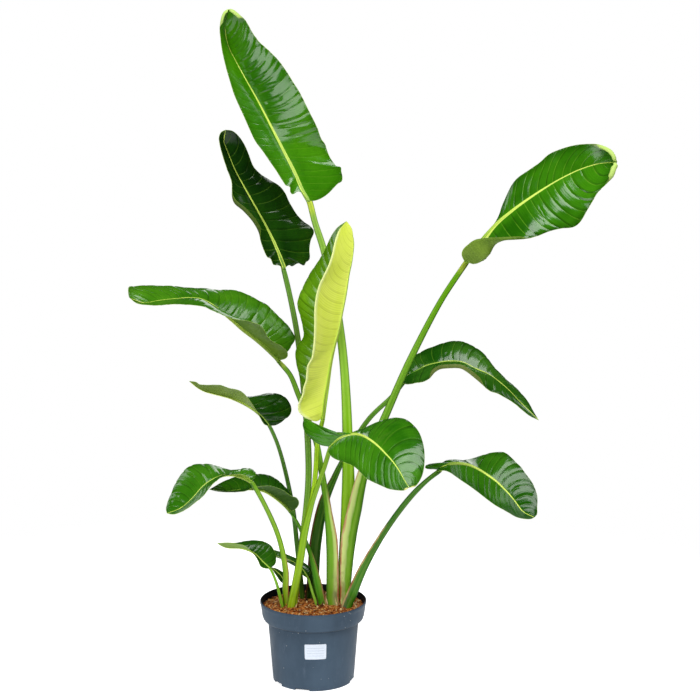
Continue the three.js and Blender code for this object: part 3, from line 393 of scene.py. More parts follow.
class Graph:
    """A material's nodes, linked to one Principled shader."""

    def __init__(self, name, **settings):
        self.material = bpy.data.materials.new(name)
        self.material.use_nodes = True
        self.nodes = self.material.node_tree.nodes
        self.links = self.material.node_tree.links
        self.shader = self.nodes["Principled BSDF"]
        for key, value in settings.items():
            self.shader.inputs[key.replace("_", " ")].default_value = value

    def feed(self, socket, value):
        if isinstance(value, bpy.types.NodeSocket):
            self.links.new(value, socket)
        else:
            socket.default_value = value

    def node(self, kind, inputs, **settings):
        made = self.nodes.new(kind)
        for key, value in settings.items():
            setattr(made, key, value)
        for key, value in inputs.items():
            self.feed(made.inputs[key], value)
        return made

    def layer(self, name):
        return self.node("ShaderNodeAttribute", {}, attribute_name=name).outputs["Fac"]

    def math(self, operation, a, b=0.0, c=0.0):
        return self.node("ShaderNodeMath", {0: a, 1: b, 2: c}, operation=operation).outputs[0]

    def times(self, a, b):
        return self.math("MULTIPLY", a, b)

    def minus(self, a, b):
        return self.math("SUBTRACT", a, b)

    def band(self, value, low, high, first=0.0, last=1.0):
        """Goes smoothly from first to last as value goes from low to high."""
        inputs = {"Value": value, "From Min": low, "From Max": high, "To Min": first, "To Max": last}
        return self.node("ShaderNodeMapRange", inputs, interpolation_type="SMOOTHSTEP").outputs[0]

    def point(self, stretch=(1, 1, 1), space="Object"):
        """The place on the object, or in its UV map."""
        inputs = {0: self.node("ShaderNodeTexCoord", {}).outputs[space], 1: stretch}
        return self.node("ShaderNodeVectorMath", inputs, operation="MULTIPLY").outputs[0]

    def distance(self, stretch=(1, 1, 1)):
        """How far the place is from the object's origin."""
        inputs = {0: self.point(stretch)}
        return self.node("ShaderNodeVectorMath", inputs, operation="LENGTH").outputs["Value"]

    def noise(self, scale, detail=3.0, roughness=0.5, stretch=(1, 1, 1), space="Object"):
        """Smooth noise round 0.5, with scale grains to a metre of the object."""
        vector = self.point(stretch, space)
        inputs = {"Vector": vector, "Scale": scale, "Detail": detail, "Roughness": roughness}
        return self.node("ShaderNodeTexNoise", inputs).outputs[0]

    def mix(self, factor, a, b):
        made = self.node("ShaderNodeMix", {"Factor": factor}, data_type="RGBA")
        for socket, value in ((made.inputs[6], a), (made.inputs[7], b)):
            self.feed(socket, value if isinstance(value, bpy.types.NodeSocket) else colour(value))
        return made.outputs[2]

    def overlay(self, tint, *layers):
        """The tint with other colours laid over it in turn, each with its factor."""
        for factor, tone in layers:
            tint = self.mix(factor, tint, tone)
        return tint

    def ramp(self, factor, *stops):
        made = self.node("ShaderNodeValToRGB", {"Fac": factor})
        elements = made.color_ramp.elements
        while len(elements) < len(stops):
            elements.new(0.5)
        for element, (position, tone) in zip(elements, stops):
            element.position = position
            element.color = colour(tone)
        return made.outputs[0]

    def bump(self, height, distance, strength, **normal):
        inputs = {"Height": height, "Distance": distance, "Strength": strength} | normal
        return self.node("ShaderNodeBump", inputs).outputs[0]

    def finish(self, tint, grain, rough, normal):
        """The material, with a roughness that goes between two values with the grain."""
        self.feed(self.shader.inputs["Base Color"], tint)
        self.feed(self.shader.inputs["Roughness"], self.band(grain, 0.3, 0.7, *rough))
        self.feed(self.shader.inputs["Normal"], normal)
        return self.material


LIME = (190, 220, 116)
RIB = (214, 236, 104)
MARGIN = (150, 186, 60)
UPPER_PAINT = (0.5, 0.12, 0.6, 0.35, 0.35)
UNDER_PAINT = (0.25, 0.12, 0.15, 0.1, 0.35)


def vein_lines(graph, share, width):
    """Thin lines, 1 on each vein and 0 between them. share: the part of the way to the next vein."""
    off = graph.math("ABSOLUTE", graph.minus(share, 0.5))
    return graph.band(off, 0.5 - width, 0.5)


def blade_face(name, tones, rim_tone, shine, rough, paint):
    """One face of a blade. tones: dark and light. paint: how strong the pale veins, the fine lines,
    the painted shade in the hollows beside the veins, the darker margin and the bump are."""
    face = Graph(name, **shine)
    veins, rib, edge, rim = (face.layer(k) for k in ("veins", "rib_share", "edge_mm", "rim"))
    vein_paint, line_paint, hollow_shade_paint, margin_paint, bump_strength = paint
    dark, light = (colour(c) for c in tones)
    deep = (*(0.45 * c for c in dark[:3]), 1.0)
    share = face.math("FRACT", veins)
    fine = vein_lines(face, face.math("FRACT", face.times(veins, 5.0)), 0.35)
    patch = face.noise(17.0, 2.0)
    # Painted shade in the hollow just past each vein, stronger in patches.
    hollow_shade = face.times(face.band(share, 0.3, 0.02), face.band(patch, 0.35, 0.65, 0.2, 1.0))
    crease = face.times(vein_lines(face, share, 0.06), face.band(patch, 0.62, 0.4, 0.2, 1.0))
    # Over the two tones: painted shade in the hollows, veins, fine lines, a darker margin, the glow
    # beside the midrib, its pale band, the thin edge's tone and the rim.
    tint = face.overlay(
        face.ramp(face.noise(8.0, 4.0, 0.6, (1, 1, 0.7)), (0.32, dark), (0.68, light)),
        (face.times(hollow_shade, hollow_shade_paint), deep),
        (face.times(crease, vein_paint), face.mix(0.35, light, (150, 200, 60))),
        (face.times(fine, line_paint), deep),
        (face.band(edge, 22.0, 1.0, 0.0, margin_paint), deep),
        (face.band(rib, 1.0, 5.0, 0.35, 0.0), light),
        (face.band(rib, 0.85, 1.1, 1.0, 0.0), RIB),
        (face.band(edge, 0.2, 1.3, 0.6, 0.0), MARGIN),
        (rim, rim_tone),
    )
    grain = face.noise(55.0, 1.5)
    height = face.math("ADD", face.times(fine, -0.2), face.times(grain, 0.25))
    height = face.math("ADD", height, face.times(vein_lines(face, share, 0.09), -0.5))
    return face.finish(tint, grain, rough, face.bump(height, 0.0007, bump_strength))


def blade_materials(leaf):
    """The upper face, the underside and the thin edge of one blade."""
    name, rim_tone = leaf["name"], leaf.get("rim", LIME)
    waxy = {"IOR": 1.47, "Specular_IOR_Level": leaf.get("gloss", 0.5)}
    matt = {"IOR": 1.4, "Specular_IOR_Level": 0.2}
    paint, under_paint = leaf.get("paint", UPPER_PAINT), leaf.get("under_paint", UNDER_PAINT)
    thin = Graph(name + "_edge", Specular_IOR_Level=0.4, Roughness=0.45)
    tint = thin.ramp(thin.noise(40.0), (0.3, (104, 146, 40)), (0.7, (170, 196, 84)))
    thin.feed(thin.shader.inputs["Base Color"], tint)
    return [
        blade_face(name + "_upper_face", leaf["upper"], rim_tone, waxy, (0.11, 0.18), paint),
        blade_face(name + "_underside", leaf["under"], rim_tone, matt, (0.4, 0.55), under_paint),
        thin.material,
    ]


def sheath_margin(graph, tint, side, top, pale, tan, base, strength=0.85, inner=0.05):
    """A pale band, partly bloom and partly painted sheen, with a dry tan margin on one side of a
    sheath, up to the share top, and painted shade on the far side. side: 1 on the right, -1 on the
    left. base: the stain at the foot. strength: how strong the pale band is. inner: where it begins,
    from -1 to 1 across the stalk."""
    along, across, front = (graph.layer(k) for k in ("along", "across", "front"))
    wobble = graph.noise(60.0, 3.0, 0.6, (1, 1, 0.4))
    drift = graph.times(graph.minus(wobble, 0.5), 0.5)
    off = graph.math("ADD", graph.times(across, side), drift)
    shown = graph.times(graph.band(front, -0.5, -0.1), graph.band(along, top, top - 0.09))
    foot = graph.times(graph.band(along, 0.2, 0.07, 0.0, 0.8), graph.band(wobble, 0.35, 0.6))
    blush = graph.noise(34.0, 4.0, 0.65, (1, 1, 0.35))
    # Painted shade on the far side, the pale band of bloom and painted sheen, the stain at the foot and the
    # dry margin.
    return graph.overlay(
        tint,
        (graph.band(off, -0.15, -0.95, 0.0, 0.6), (40, 92, 6)),
        (graph.times(shown, graph.band(off, inner, inner + 0.4, 0.0, strength)), pale),
        (graph.times(foot, graph.band(off, -0.4, 0.5)), base),
        (graph.times(shown, graph.band(off, 0.66, 0.84)), graph.ramp(blush, (0.4, tan[0]), (0.62, tan[1]))),
    )


def petiole_material(name, tones, roughness=0.34, joint=None, sheath=None):
    """A stalk: lengthwise fibres over three tones from foot to top."""
    graph = Graph(name, Specular_IOR_Level=0.13)
    along, edge, groove = (graph.layer(k) for k in ("along", "edge", "groove"))
    low, middle, high = tones
    drift = graph.times(graph.minus(graph.noise(7.0), 0.5), 0.3)
    tint = graph.ramp(graph.math("ADD", along, drift), (0.04, low), (0.45, middle), (0.95, high))
    if joint is not None:
        tint = graph.mix(graph.band(along, 0.955, 0.985), tint, joint)
    fibres = graph.noise(1.0, 2.0, 0.6, (15.0, 2.5, 1.0), "UV")
    # Pale fibres, dark fibres, brown specks and painted shade down both sides.
    tint = graph.overlay(
        tint,
        (graph.band(fibres, 0.35, 0.75, 0.0, 0.35), graph.mix(0.5, high, (214, 230, 120))),
        (graph.band(fibres, 0.5, 0.25, 0.0, 0.3), graph.mix(0.5, low, (30, 80, 16))),
        (graph.band(graph.noise(160.0, 2.0), 0.68, 0.8, 0.0, 0.3), (100, 96, 50)),
        (graph.band(edge, -0.1, 0.95, 0.0, 0.85), graph.mix(0.7, middle, (16, 60, 4))),
    )
    if sheath is not None:
        tint = sheath_margin(graph, tint, **sheath)
    # Painted shade in the groove down the front.
    tint = graph.mix(graph.times(groove, 0.35), tint, graph.mix(0.5, middle, (40, 90, 20)))
    rough = (roughness - 0.05, roughness + 0.08)
    return graph.finish(tint, fibres, rough, graph.bump(fibres, 0.0006, 0.35))


# ---- blades ----
NO_ROLL = ([], [])
NOT_CALM = (-2, -1)
ROWS = {"step": 2.0, "fewest": 60, "most": 300}
HALF_COLUMNS = 26
LIP = {"columns": 8, "radius": 0.4, "angle": 50, "curled_angle": 200}
# How far, in shares of the midrib, a vein is ahead of its start when it reaches the margin.
VEIN_LEAD = {"at_foot": 0.03, "growth": 0.1, "bend": 1.5}
PILLOW = {"height": 1.1, "tilt": 0.4}
VALLEY = {"depth": 1.5, "width": 1.8}
STRAY_FOLD_WIDTH = 2.6
SLOW_RISE = 1.5
MEAN_RISE = 0.6
# The relief is full from this share of the way to the margin, on a half this wide, and up to this
# share of the length. A calm part of a blade and a narrow half keep a little of it.
FULL_RELIEF = {"across": 0.22, "width": 55, "along": 0.93}
LEAST_RELIEF = {"calm": 0.12, "narrow": 0.08, "curled": 0.2}
UPPER, UNDER, THIN = 0, 1, 2


def hash_name(name):
    """A number of its own for each name, the same on every run."""
    return sum((i + 1) * ord(c) for i, c in enumerate(name))


def crease_places(rng, count):
    """Where the creases leave the midrib: regular, with some jitter."""
    steps = rng.uniform(0.6, 1.4, count)
    return np.concatenate([[0], np.cumsum(steps) / steps.sum()])


def vein_start(u, v):
    """Where on the midrib the vein through each point starts: veins run forward to the margin."""
    lead = VEIN_LEAD["at_foot"] + VEIN_LEAD["growth"] * u[:, None]
    return np.clip(u[:, None] - lead * v[None, :] ** VEIN_LEAD["bend"], 0, 1)


def grid_normals(points):
    """The upward direction of each point of a blade's rows, which run from left to right."""
    return unit(np.cross(np.gradient(points, axis=1), np.gradient(points, axis=0)))


def curled_margin(rolls, u):
    """How far the margin is curled, how pale it is and the radius of its lip."""
    curled, pale, radius = np.zeros(len(u)), np.zeros(len(u)), np.full(len(u), LIP["radius"])
    for start, full, full_end, end, size, paleness in rolls:
        curl = smooth_step(start, full, u) * smooth_step(end, full_end, u)
        curled, pale = np.maximum(curled, curl), np.maximum(pale, curl * paleness)
        radius += curl * (size - LIP["radius"]) * smooth_step(1.0, 0.985, u)
    return curled, pale, radius


def relief(rng, phase, v, spacing, count):
    """How far each point of a half stands above its smooth sheet: pillows between the creases,
    sharp valleys of uneven depth on them, and some stray folds that cross a few veins."""
    cell = np.clip(phase.astype(int), 0, count)
    share = phase - cell
    size = rng.uniform(0.3, 1.0, count + 2)
    tilt = rng.uniform(-0.8, 0.8, count + 2)
    rise = PILLOW["height"] * size[cell] * (1 - (2 * share - 1) ** 4)
    rise = rise + PILLOW["tilt"] * tilt[cell] * np.sin(TAU * share)
    nearest = np.clip(np.rint(phase), 0, count).astype(int)
    knots = rng.uniform(0, 1, (count + 1, 6)) ** 1.5
    across = np.minimum(v * 5, 4.999)
    spot = across.astype(int)
    part = smooth_step(0, 1, across - spot)
    depth = knots[nearest, spot[None, :]] * (1 - part) + knots[nearest, spot[None, :] + 1] * part
    rise = rise - VALLEY["depth"] * depth * np.exp(-((phase - nearest) * spacing / VALLEY["width"]) ** 2)
    for _ in range(count):
        start, reach, begin = rng.uniform(0, count), rng.uniform(-0.9, 0.9), rng.uniform(0.1, 0.8)
        end = begin + rng.uniform(0.15, 0.5)
        line = start + reach * (v - begin) / (end - begin)
        shown = smooth_step(begin - 0.08, begin + 0.05, v) * smooth_step(end + 0.08, end - 0.05, v)
        off = (phase - line[None, :]) * spacing
        rise = rise - rng.uniform(-0.5, 1.2) * shown[None, :] * np.exp(-(off / STRAY_FOLD_WIDTH) ** 2)
    slow = wander(rng, phase / count, count // 3) * SLOW_RISE * np.sin(v * 2.4)[None, :]
    return (rise - MEAN_RISE + slow) * smooth_step(0.0, FULL_RELIEF["across"], v)[None, :]


def lip(sheet, side, radius, angle):
    """Columns that bend the margin of a half round. angle: of each point, by row and column."""
    up = grid_normals(sheet)[:, -1] * side
    padded = np.pad(up, ((4, 4), (0, 0)), "edge")
    mean_of_nine = np.ones(9) / 9
    up = unit(np.stack([np.convolve(padded[:, k], mean_of_nine, "valid") for k in range(3)], -1))
    outward = unit(np.cross(np.gradient(sheet[:, -1], axis=0), up)) * side
    reach = (radius[:, None] * np.sin(angle))[..., None] * outward[:, None]
    lift = (radius[:, None] * (1 - np.cos(angle)))[..., None] * up[:, None]
    return sheet[:, -1:] + reach + lift


def smooth_half(leaf, side, tip, u, share, radius):
    """One half of a blade without its relief, from the midrib to where its lip begins, the half's
    width at each row and the midrib."""
    key = {-1: "left", 1: "right"}[side]
    midrib = places(leaf["midrib"])
    foot = midrib[0]
    rib = along_curve(midrib, u)
    along = unit(along_curve(midrib, u + 1e-3) - along_curve(midrib, u - 1e-3))
    edge = along_curve(np.vstack([foot, places(leaf[key]), tip]), u)
    up = unit(np.cross(unit(edge - rib), along)) * side
    outward = unit(np.cross(np.gradient(edge, axis=0), up)) * side
    edge = edge - outward * radius[:, None]
    width = np.linalg.norm(edge - rib, axis=1)[:, None]
    middle = (rib + edge) / 2 + up * BLADE_SWELL * width
    if key + "_fold" in leaf:
        middle = along_curve(np.vstack([foot, places(leaf[key + "_fold"]), tip]), u)
    bend = middle - (rib + edge) / 2
    v = share[None, :, None]
    sheet = rib[:, None] * (1 - v) + edge[:, None] * v + bend[:, None] * 4 * v * (1 - v)
    return sheet, width, rib


def blade_surface(leaf):
    """The middle surface of a blade as rows of points, with what its details depend on."""
    rng = np.random.default_rng(hash_name(leaf["name"]))
    pleats = leaf["pleats"]
    midrib = places(leaf["midrib"])
    foot, tip = midrib[0], midrib[-1]
    length = np.linalg.norm(np.diff(midrib, axis=0), axis=1).sum()
    rows = int(np.clip(length / ROWS["step"], ROWS["fewest"], ROWS["most"]))
    u = np.linspace(0, 1, rows + 2)[1:-1]
    creases = crease_places(rng, pleats)
    share = (np.arange(HALF_COLUMNS + 1) / HALF_COLUMNS) ** 1.25
    turn = np.arange(1, LIP["columns"] + 1) / LIP["columns"]
    every = np.concatenate([share, np.ones(LIP["columns"])])
    rib_width = leaf["rib"] * (1 - u) ** 1.2 + 0.5
    calm = LEAST_RELIEF["calm"]
    depth = calm + (1 - calm) * smooth_step(*leaf.get("calm", NOT_CALM), u)
    halves = []
    for side, rolls in zip((-1, 1), leaf.get("roll", NO_ROLL)):
        curled, pale, radius = curled_margin(rolls, u)
        sheet, width, rib = smooth_half(leaf, side, tip, u, share, radius)
        phase = np.interp(vein_start(u, share), creases, np.arange(len(creases)))
        rise = relief(rng, phase, share, length / pleats, pleats)
        rise = rise * leaf["relief"][(side + 1) // 2] * depth[:, None]
        ripple = wander(rng, u, pleats // 2)[:, None] * share[None, :] ** 2.5
        room = np.clip(width / FULL_RELIEF["width"], LEAST_RELIEF["narrow"], 1)
        room = room * (1 - (1 - LEAST_RELIEF["curled"]) * curled[:, None])
        rise = (rise + leaf["wave"] * ripple) * (room * smooth_step(1.0, FULL_RELIEF["along"], u)[:, None])
        sheet = sheet + grid_normals(sheet) * (side * rise)[..., None]
        full_angle = np.radians(LIP["angle"] + (LIP["curled_angle"] - LIP["angle"]) * curled)[:, None]
        bent = lip(sheet, side, radius, turn[None, :] * full_angle)
        lip_length = radius[:, None] * full_angle
        halves.append({
            "points": np.concatenate([sheet, bent], 1),
            "veins": np.concatenate([phase, np.repeat(phase[:, -1:], LIP["columns"], 1)], 1),
            "rib_share": every[None, :] * width / rib_width[:, None],
            "edge_mm": np.concatenate([lip_length + (1 - share) * width, lip_length * (1 - turn)], 1),
            "rim": pale[:, None] * smooth_step(0.9, 1.0, every)[None, :],
            "across": np.tile(side * np.concatenate([share, 1 + 0.02 * turn]), (rows, 1)),
        })
        # A curled lip draws the tip in.
        tip = tip + 0.4 * radius[-8] * unit(rib[-3] - tip)
    left, right = halves
    grid = {key: np.concatenate([left[key][:, ::-1], right[key][:, 1:]], 1) for key in left}
    return grid | {"u": u, "foot": foot, "tip": tip, "rib_width": rib_width}


def build_blade(leaf):
    """Two faces, a thin edge between them, and fans to the foot and the tip."""
    grid = blade_surface(leaf)
    points = grid["points"]
    rows, columns = points.shape[:2]
    count = rows * columns
    half = grid_normals(points) * (BLADE_THICKNESS / 2)
    top, bottom = (points + half).reshape(-1, 3), (points - half).reshape(-1, 3)
    foot, tip, last = 2 * count, 2 * count + 1, count - columns
    sides = ((0, 1), (columns - 1, -1))
    quads = grid_faces(rows, columns)
    faces = [tuple(q) for q in quads] + [tuple(q[::-1] + count) for q in quads]
    for r in range(rows - 1):
        for c, way in sides:
            a, b = r * columns + c, (r + 1) * columns + c
            faces.append((a, b, b + count, a + count)[::way])
    for c in range(columns - 1):
        faces += [(foot, c + 1, c), (foot, count + c, count + c + 1)]
        faces += [(tip, last + c, last + c + 1), (tip, last + count + c + 1, last + count + c)]
    for c, way in sides:
        faces += [(foot, c, c + count)[::way], (tip, last + c + count, last + c)[::way]]
    kinds = [UPPER] * len(quads) + [UNDER] * len(quads) + [THIN] * 2 * (rows - 1)
    kinds += [UPPER, UNDER] * 2 * (columns - 1) + [THIN] * 4

    def both(values):
        flat = np.asarray(values, float).reshape(-1)
        return np.concatenate([flat, flat, [flat[0], flat[-1]]])

    # In the UV map the upper face is on the left and the underside on the right.
    u = np.broadcast_to(grid["u"][:, None], (rows, columns))
    side = np.concatenate([np.zeros(count), np.full(count, 0.5), [0, 0]])
    uv = np.stack([both(grid["across"]) * 0.22 + 0.25 + side, both(u) * 0.96 + 0.02], -1)
    layers = {key: both(grid[key]) for key in ("veins", "rib_share", "edge_mm", "rim")}
    vertices = np.concatenate([top, bottom, [grid["foot"], grid["tip"]]])
    name = leaf["name"]
    blade = add_object(name + "_leaf_blade", vertices, faces, blade_materials(leaf), kinds, uv, layers)
    place(blade, "blade_" + leaf["slots"][0], name + "_blade")
    return grid


# ---- stalks and midribs ----
STALK_SIDES = 28
STATION_RINGS = 6
GROOVE = {"width": 0.42, "depth": 0.22, "start": 0.15, "full": 0.5}
# The midrib's width and depth in shares of the stalk's top: what tapers off, and what is left at
# the tip. It is at least so many times as wide as the pale band's half, and stands out a little.
MIDRIB = {"stations": 12, "width": (0.8, 0.09), "depth": (0.85, 0.1), "band": 1.7, "out": (0.14, 0.2)}


def stalk_line(leaf, grid):
    """Stations from the soil along the stalk and under the blade to its tip, as (x, y, z, width,
    depth), how many of them the stalk has, and the blade's upward direction at the rest."""
    stations = places(leaf["stalk"])
    below = stations[0] - (0, 0, FOOT_DEPTH, 0, 0)
    top_width, top_depth = stations[-1, 3:]
    rows, columns = grid["points"].shape[:2]
    middle = columns // 2
    normals = grid_normals(grid["points"])[:, middle]
    picks = np.linspace(2, rows - 2, MIDRIB["stations"]).astype(int)
    share = grid["u"][picks]
    taper = (1 - share) ** 0.9
    pale_widths = np.interp(share, grid["u"], grid["rib_width"])
    (wide, wide_tip), (deep, deep_tip), (out, out_tip) = (MIDRIB[k] for k in ("width", "depth", "out"))
    widths = np.maximum(top_width * (wide * taper + wide_tip), MIDRIB["band"] * pale_widths)
    depths = top_depth * (deep * taper + deep_tip)
    sunk = depths / 2 - (out * depths + out_tip)
    centres = grid["points"][picks, middle] - normals[picks] * sunk[:, None]
    foot = grid["foot"] - normals[0] * (top_depth / 2 - 1.0)
    foot = np.concatenate([foot, [top_width, top_depth]])
    every = np.vstack([below, stations, foot, np.column_stack([centres, widths, depths])])
    return every, len(stations) + 1, normals[picks]


def tube_rings(centres, sizes, normals, groove):
    """Rings of a stalk. normals: where given, the direction that the ring's front turns to."""
    tangent = unit(np.gradient(centres, axis=0))
    across = unit(np.array([1.0, 0, 0]) - tangent * tangent[:, :1])
    weight = np.linalg.norm(normals, axis=1, keepdims=True)
    turned = unit(np.cross(-normals, tangent) + 1e-9)
    turned *= np.sign((turned * across).sum(1, keepdims=True) + 1e-9)
    for k in range(1, len(turned)):
        if weight[k - 1] > 0 and turned[k] @ turned[k - 1] < 0:
            turned[k] *= -1
    across = unit(across * (1 - weight) + turned * weight)
    deep = np.cross(tangent, across)
    angle = np.arange(STALK_SIDES) / STALK_SIDES * TAU
    off = np.angle(np.exp(1j * (angle + np.pi / 2)))
    front = np.exp(-(off / GROOVE["width"]) ** 2)
    dip = 1 - groove[:, None] * front[None, :]
    a = sizes[:, :1] / 2 * np.cos(angle)[None, :] * dip
    b = sizes[:, 1:] / 2 * np.sin(angle)[None, :] * dip
    return centres[:, None] + across[:, None] * a[..., None] + deep[:, None] * b[..., None], front


def add_tube(name, every, at, length, lead, groove, material):
    """A closed tube along part of a stalk's line, at the places at. lead: how its front turns."""
    rings = len(at)
    centres = catmull_rom(every[:, :3], at)
    knots = np.linspace(0, 1, len(every))
    sizes = np.column_stack([np.interp(at, knots, every[:, k]) for k in (3, 4)])
    points, front = tube_rings(centres, sizes, lead, groove)
    vertices = np.concatenate([points.reshape(-1, 3), centres[:1], centres[-1:]])
    caps = (rings * STALK_SIDES, rings * STALK_SIDES + 1)
    share = np.append(np.repeat(np.linspace(0, 1, rings), STALK_SIDES), [0, 1])
    around = np.tile(np.arange(STALK_SIDES) / STALK_SIDES, rings)
    ends = [0, 0]
    layers = {
        "along": share,
        # edge is 1 at the two sides, where petiole_material paints shade, and -1 at the front and back.
        "edge": np.append(np.cos(2 * TAU * around), ends),
        "groove": np.append(front[None, :] * (groove > 0.01)[:, None], ends),
        "across": np.append(np.cos(TAU * around), ends),
        "front": np.append(-np.sin(TAU * around), ends),
    }
    height = np.append(share[:-2] * length * MM, [0, 1])
    uv = np.column_stack([np.append(around, ends), height])
    faces = ring_faces(rings, STALK_SIDES, caps)
    return add_object(name, vertices, faces, [material], uv=uv, layers=layers)


def build_stalk(leaf, grid):
    """The stalk, and the midrib that goes on from it under the blade."""
    every, own, normals = stalk_line(leaf, grid)
    split = own / (len(every) - 1)
    t, reach = measure(every[:, :3])
    foot_reach = np.interp(split, t, reach)
    name, tones = leaf["name"], leaf["petiole"]
    skin = petiole_material(name + "_petiole", tones, 0.34, leaf.get("joint"), leaf.get("sheath"))
    rib_skin = petiole_material(name + "_midrib_skin", [tones[2], RIB, RIB], 0.42)
    knots = np.linspace(split, 1, len(normals) + 1)
    for part, start, end, material, stands_for in (
        ("_leaf_stalk", 0, foot_reach, skin, [name + "_stalk"]),
        ("_midrib", foot_reach, reach[-1], rib_skin, []),
    ):
        rings = max(12, int((end - start) / STATION_RINGS))
        at = np.interp(np.linspace(start, end, rings), reach, t)
        picked = [np.interp(at, knots, np.append(normals[0, k], normals[:, k])) for k in range(3)]
        lead = unit(np.column_stack(picked)) * smooth_step(split - 0.8 / len(every), split, at)[:, None]
        groove = np.zeros(rings)
        if stands_for:
            groove = GROOVE["depth"] * smooth_step(GROOVE["start"], GROOVE["full"], at / split)
        tube = add_tube(name + part, every, at, end - start, lead, groove, material)
        place(tube, "stalk_" + leaf["slots"][1], *stands_for)


# ---- pot ----
BODY_TOP = POT["height"] - POT["collar_height"]
BODY_SLOPE = (POT["shoulder"] - POT["foot"]) / BODY_TOP
COLLAR_SLOPE = (POT["rim"] - POT["collar_foot"]) / POT["collar_height"]


def body_radius(z):
    return POT["foot"] + BODY_SLOPE * z


def collar_radius(z):
    return POT["collar_foot"] + (POT["rim"] - POT["collar_foot"]) * (z - BODY_TOP) / POT["collar_height"]


def pot_profile():
    """The pot's section as (radius, height), from the underside's middle, outside first."""
    wall, floor, top, foot, rim = (POT[k] for k in ("wall", "floor", "height", "foot", "rim"))
    round_corner = 8
    turns = [math.radians(a) for a in np.linspace(0, 90, 7)]
    return [
        (0, 1.2), (foot - 16, 1.2), (foot - 13, 0), (foot - 3, 0), (foot - 1.2, 0.6),
        (body_radius(2.5), 2.5),
        *((body_radius(z), z) for z in np.linspace(8, BODY_TOP - 5, 12)),
        (body_radius(BODY_TOP - 2.5), BODY_TOP - 2.5), (body_radius(BODY_TOP) + 1, BODY_TOP - 0.8),
        *((POT["collar_foot"] - round_corner + round_corner * math.sin(a),
           BODY_TOP + round_corner - round_corner * math.cos(a)) for a in turns),
        *((collar_radius(z), z) for z in np.linspace(BODY_TOP + 12, top - 9, 6)),
        (collar_radius(top - 7) + 0.8, top - 7), (rim - 0.2, top - 5.5), (rim, top - 3.5),
        (rim - 0.4, top - 1.2), (rim - 1.4, top - 0.2), (rim - 2.4, top - 0.2), (rim - wall, top - 1.4),
        *((collar_radius(z) - wall, z) for z in np.linspace(top - 6, BODY_TOP + 8, 4)),
        (POT["shoulder"] - wall + 2, BODY_TOP + 2), (POT["shoulder"] - wall, BODY_TOP - 1),
        (body_radius(floor + 3) - wall, floor + 3), (foot - wall - 2, floor), (0, floor),
    ]


def lathe(profile, sides):
    """Vertices and faces of a closed body round Z, whose profile starts and ends on the axis."""
    inner = np.array(profile[1:-1], float)
    angle = np.arange(sides) / sides * TAU
    ring = np.stack([np.cos(angle), np.sin(angle)], -1)
    height = np.broadcast_to(inner[:, 1:, None], (len(inner), sides, 1))
    points = np.concatenate([inner[:, :1, None] * ring[None], height], -1).reshape(-1, 3)
    ends = [(0, 0, profile[0][1]), (0, 0, profile[-1][1])]
    return np.vstack([points, ends]), ring_faces(len(inner), sides, (len(points), len(points) + 1))


def pot_material():
    """Scuffed grey plastic with pale specks, and painted shade on the inside and under the collar."""
    graph = Graph("pot_plastic_look", Specular_IOR_Level=0.12, IOR=1.4)
    broad = graph.noise(7.0, 5.0, 0.6, (1, 1, 0.6))
    rubbed = graph.noise(38.0, 6.0, 0.7, (1, 1, 0.35))
    cells = graph.node("ShaderNodeTexVoronoi", {"Vector": graph.point(), "Scale": 95.0})
    dots = graph.band(cells.outputs["Distance"], 0.13, 0.07)
    speck = graph.times(dots, graph.band(graph.noise(24.0, 2.0), 0.56, 0.62))
    streaks = graph.noise(4.0, 5.0, 0.65, (30, 30, 2))
    z = graph.node("ShaderNodeSeparateXYZ", {0: graph.point()}).outputs[2]
    radius_at_ground = (POT["collar_foot"] - POT["wall"] / 2 - COLLAR_SLOPE * BODY_TOP) * MM
    middle_of_wall = graph.math("MULTIPLY_ADD", z, COLLAR_SLOPE, radius_at_ground)
    past_wall = graph.minus(graph.distance((1, 1, 0)), middle_of_wall)
    in_collar = graph.band(z, (BODY_TOP + 12) * MM, (BODY_TOP + 16) * MM)
    inside = graph.times(in_collar, graph.band(past_wall, 0.0003, -0.0008, 0.0, 0.85))
    off_collar = graph.math("ABSOLUTE", graph.minus(z, BODY_TOP * MM))
    # Rubbed patches, specks, streaks, painted shade on the inside wall and painted shade at the collar's
    # foot.
    tint = graph.overlay(
        graph.ramp(broad, (0.3, (46, 60, 74)), (0.7, (66, 82, 98))),
        (graph.band(rubbed, 0.54, 0.78, 0.0, 0.3), (92, 104, 120)),
        (graph.times(speck, 0.75), (176, 176, 172)),
        (graph.band(streaks, 0.62, 0.75, 0.0, 0.25), (104, 114, 128)),
        (inside, (8, 10, 12)),
        (graph.band(off_collar, 0.006, 0.0015, 0.0, 0.45), (16, 20, 26)),
    )
    fine = graph.bump(graph.noise(900.0, 2.0), 0.00012, 0.5)
    return graph.finish(tint, rubbed, (0.38, 0.56), graph.bump(broad, 0.0012, 0.4, Normal=fine))


def bake_modifiers(obj):
    """The modified mesh becomes the object's own."""
    graph = bpy.context.evaluated_depsgraph_get()
    mesh = bpy.data.meshes.new_from_object(obj.evaluated_get(graph))
    obj.modifiers.clear()
    obj.data = mesh


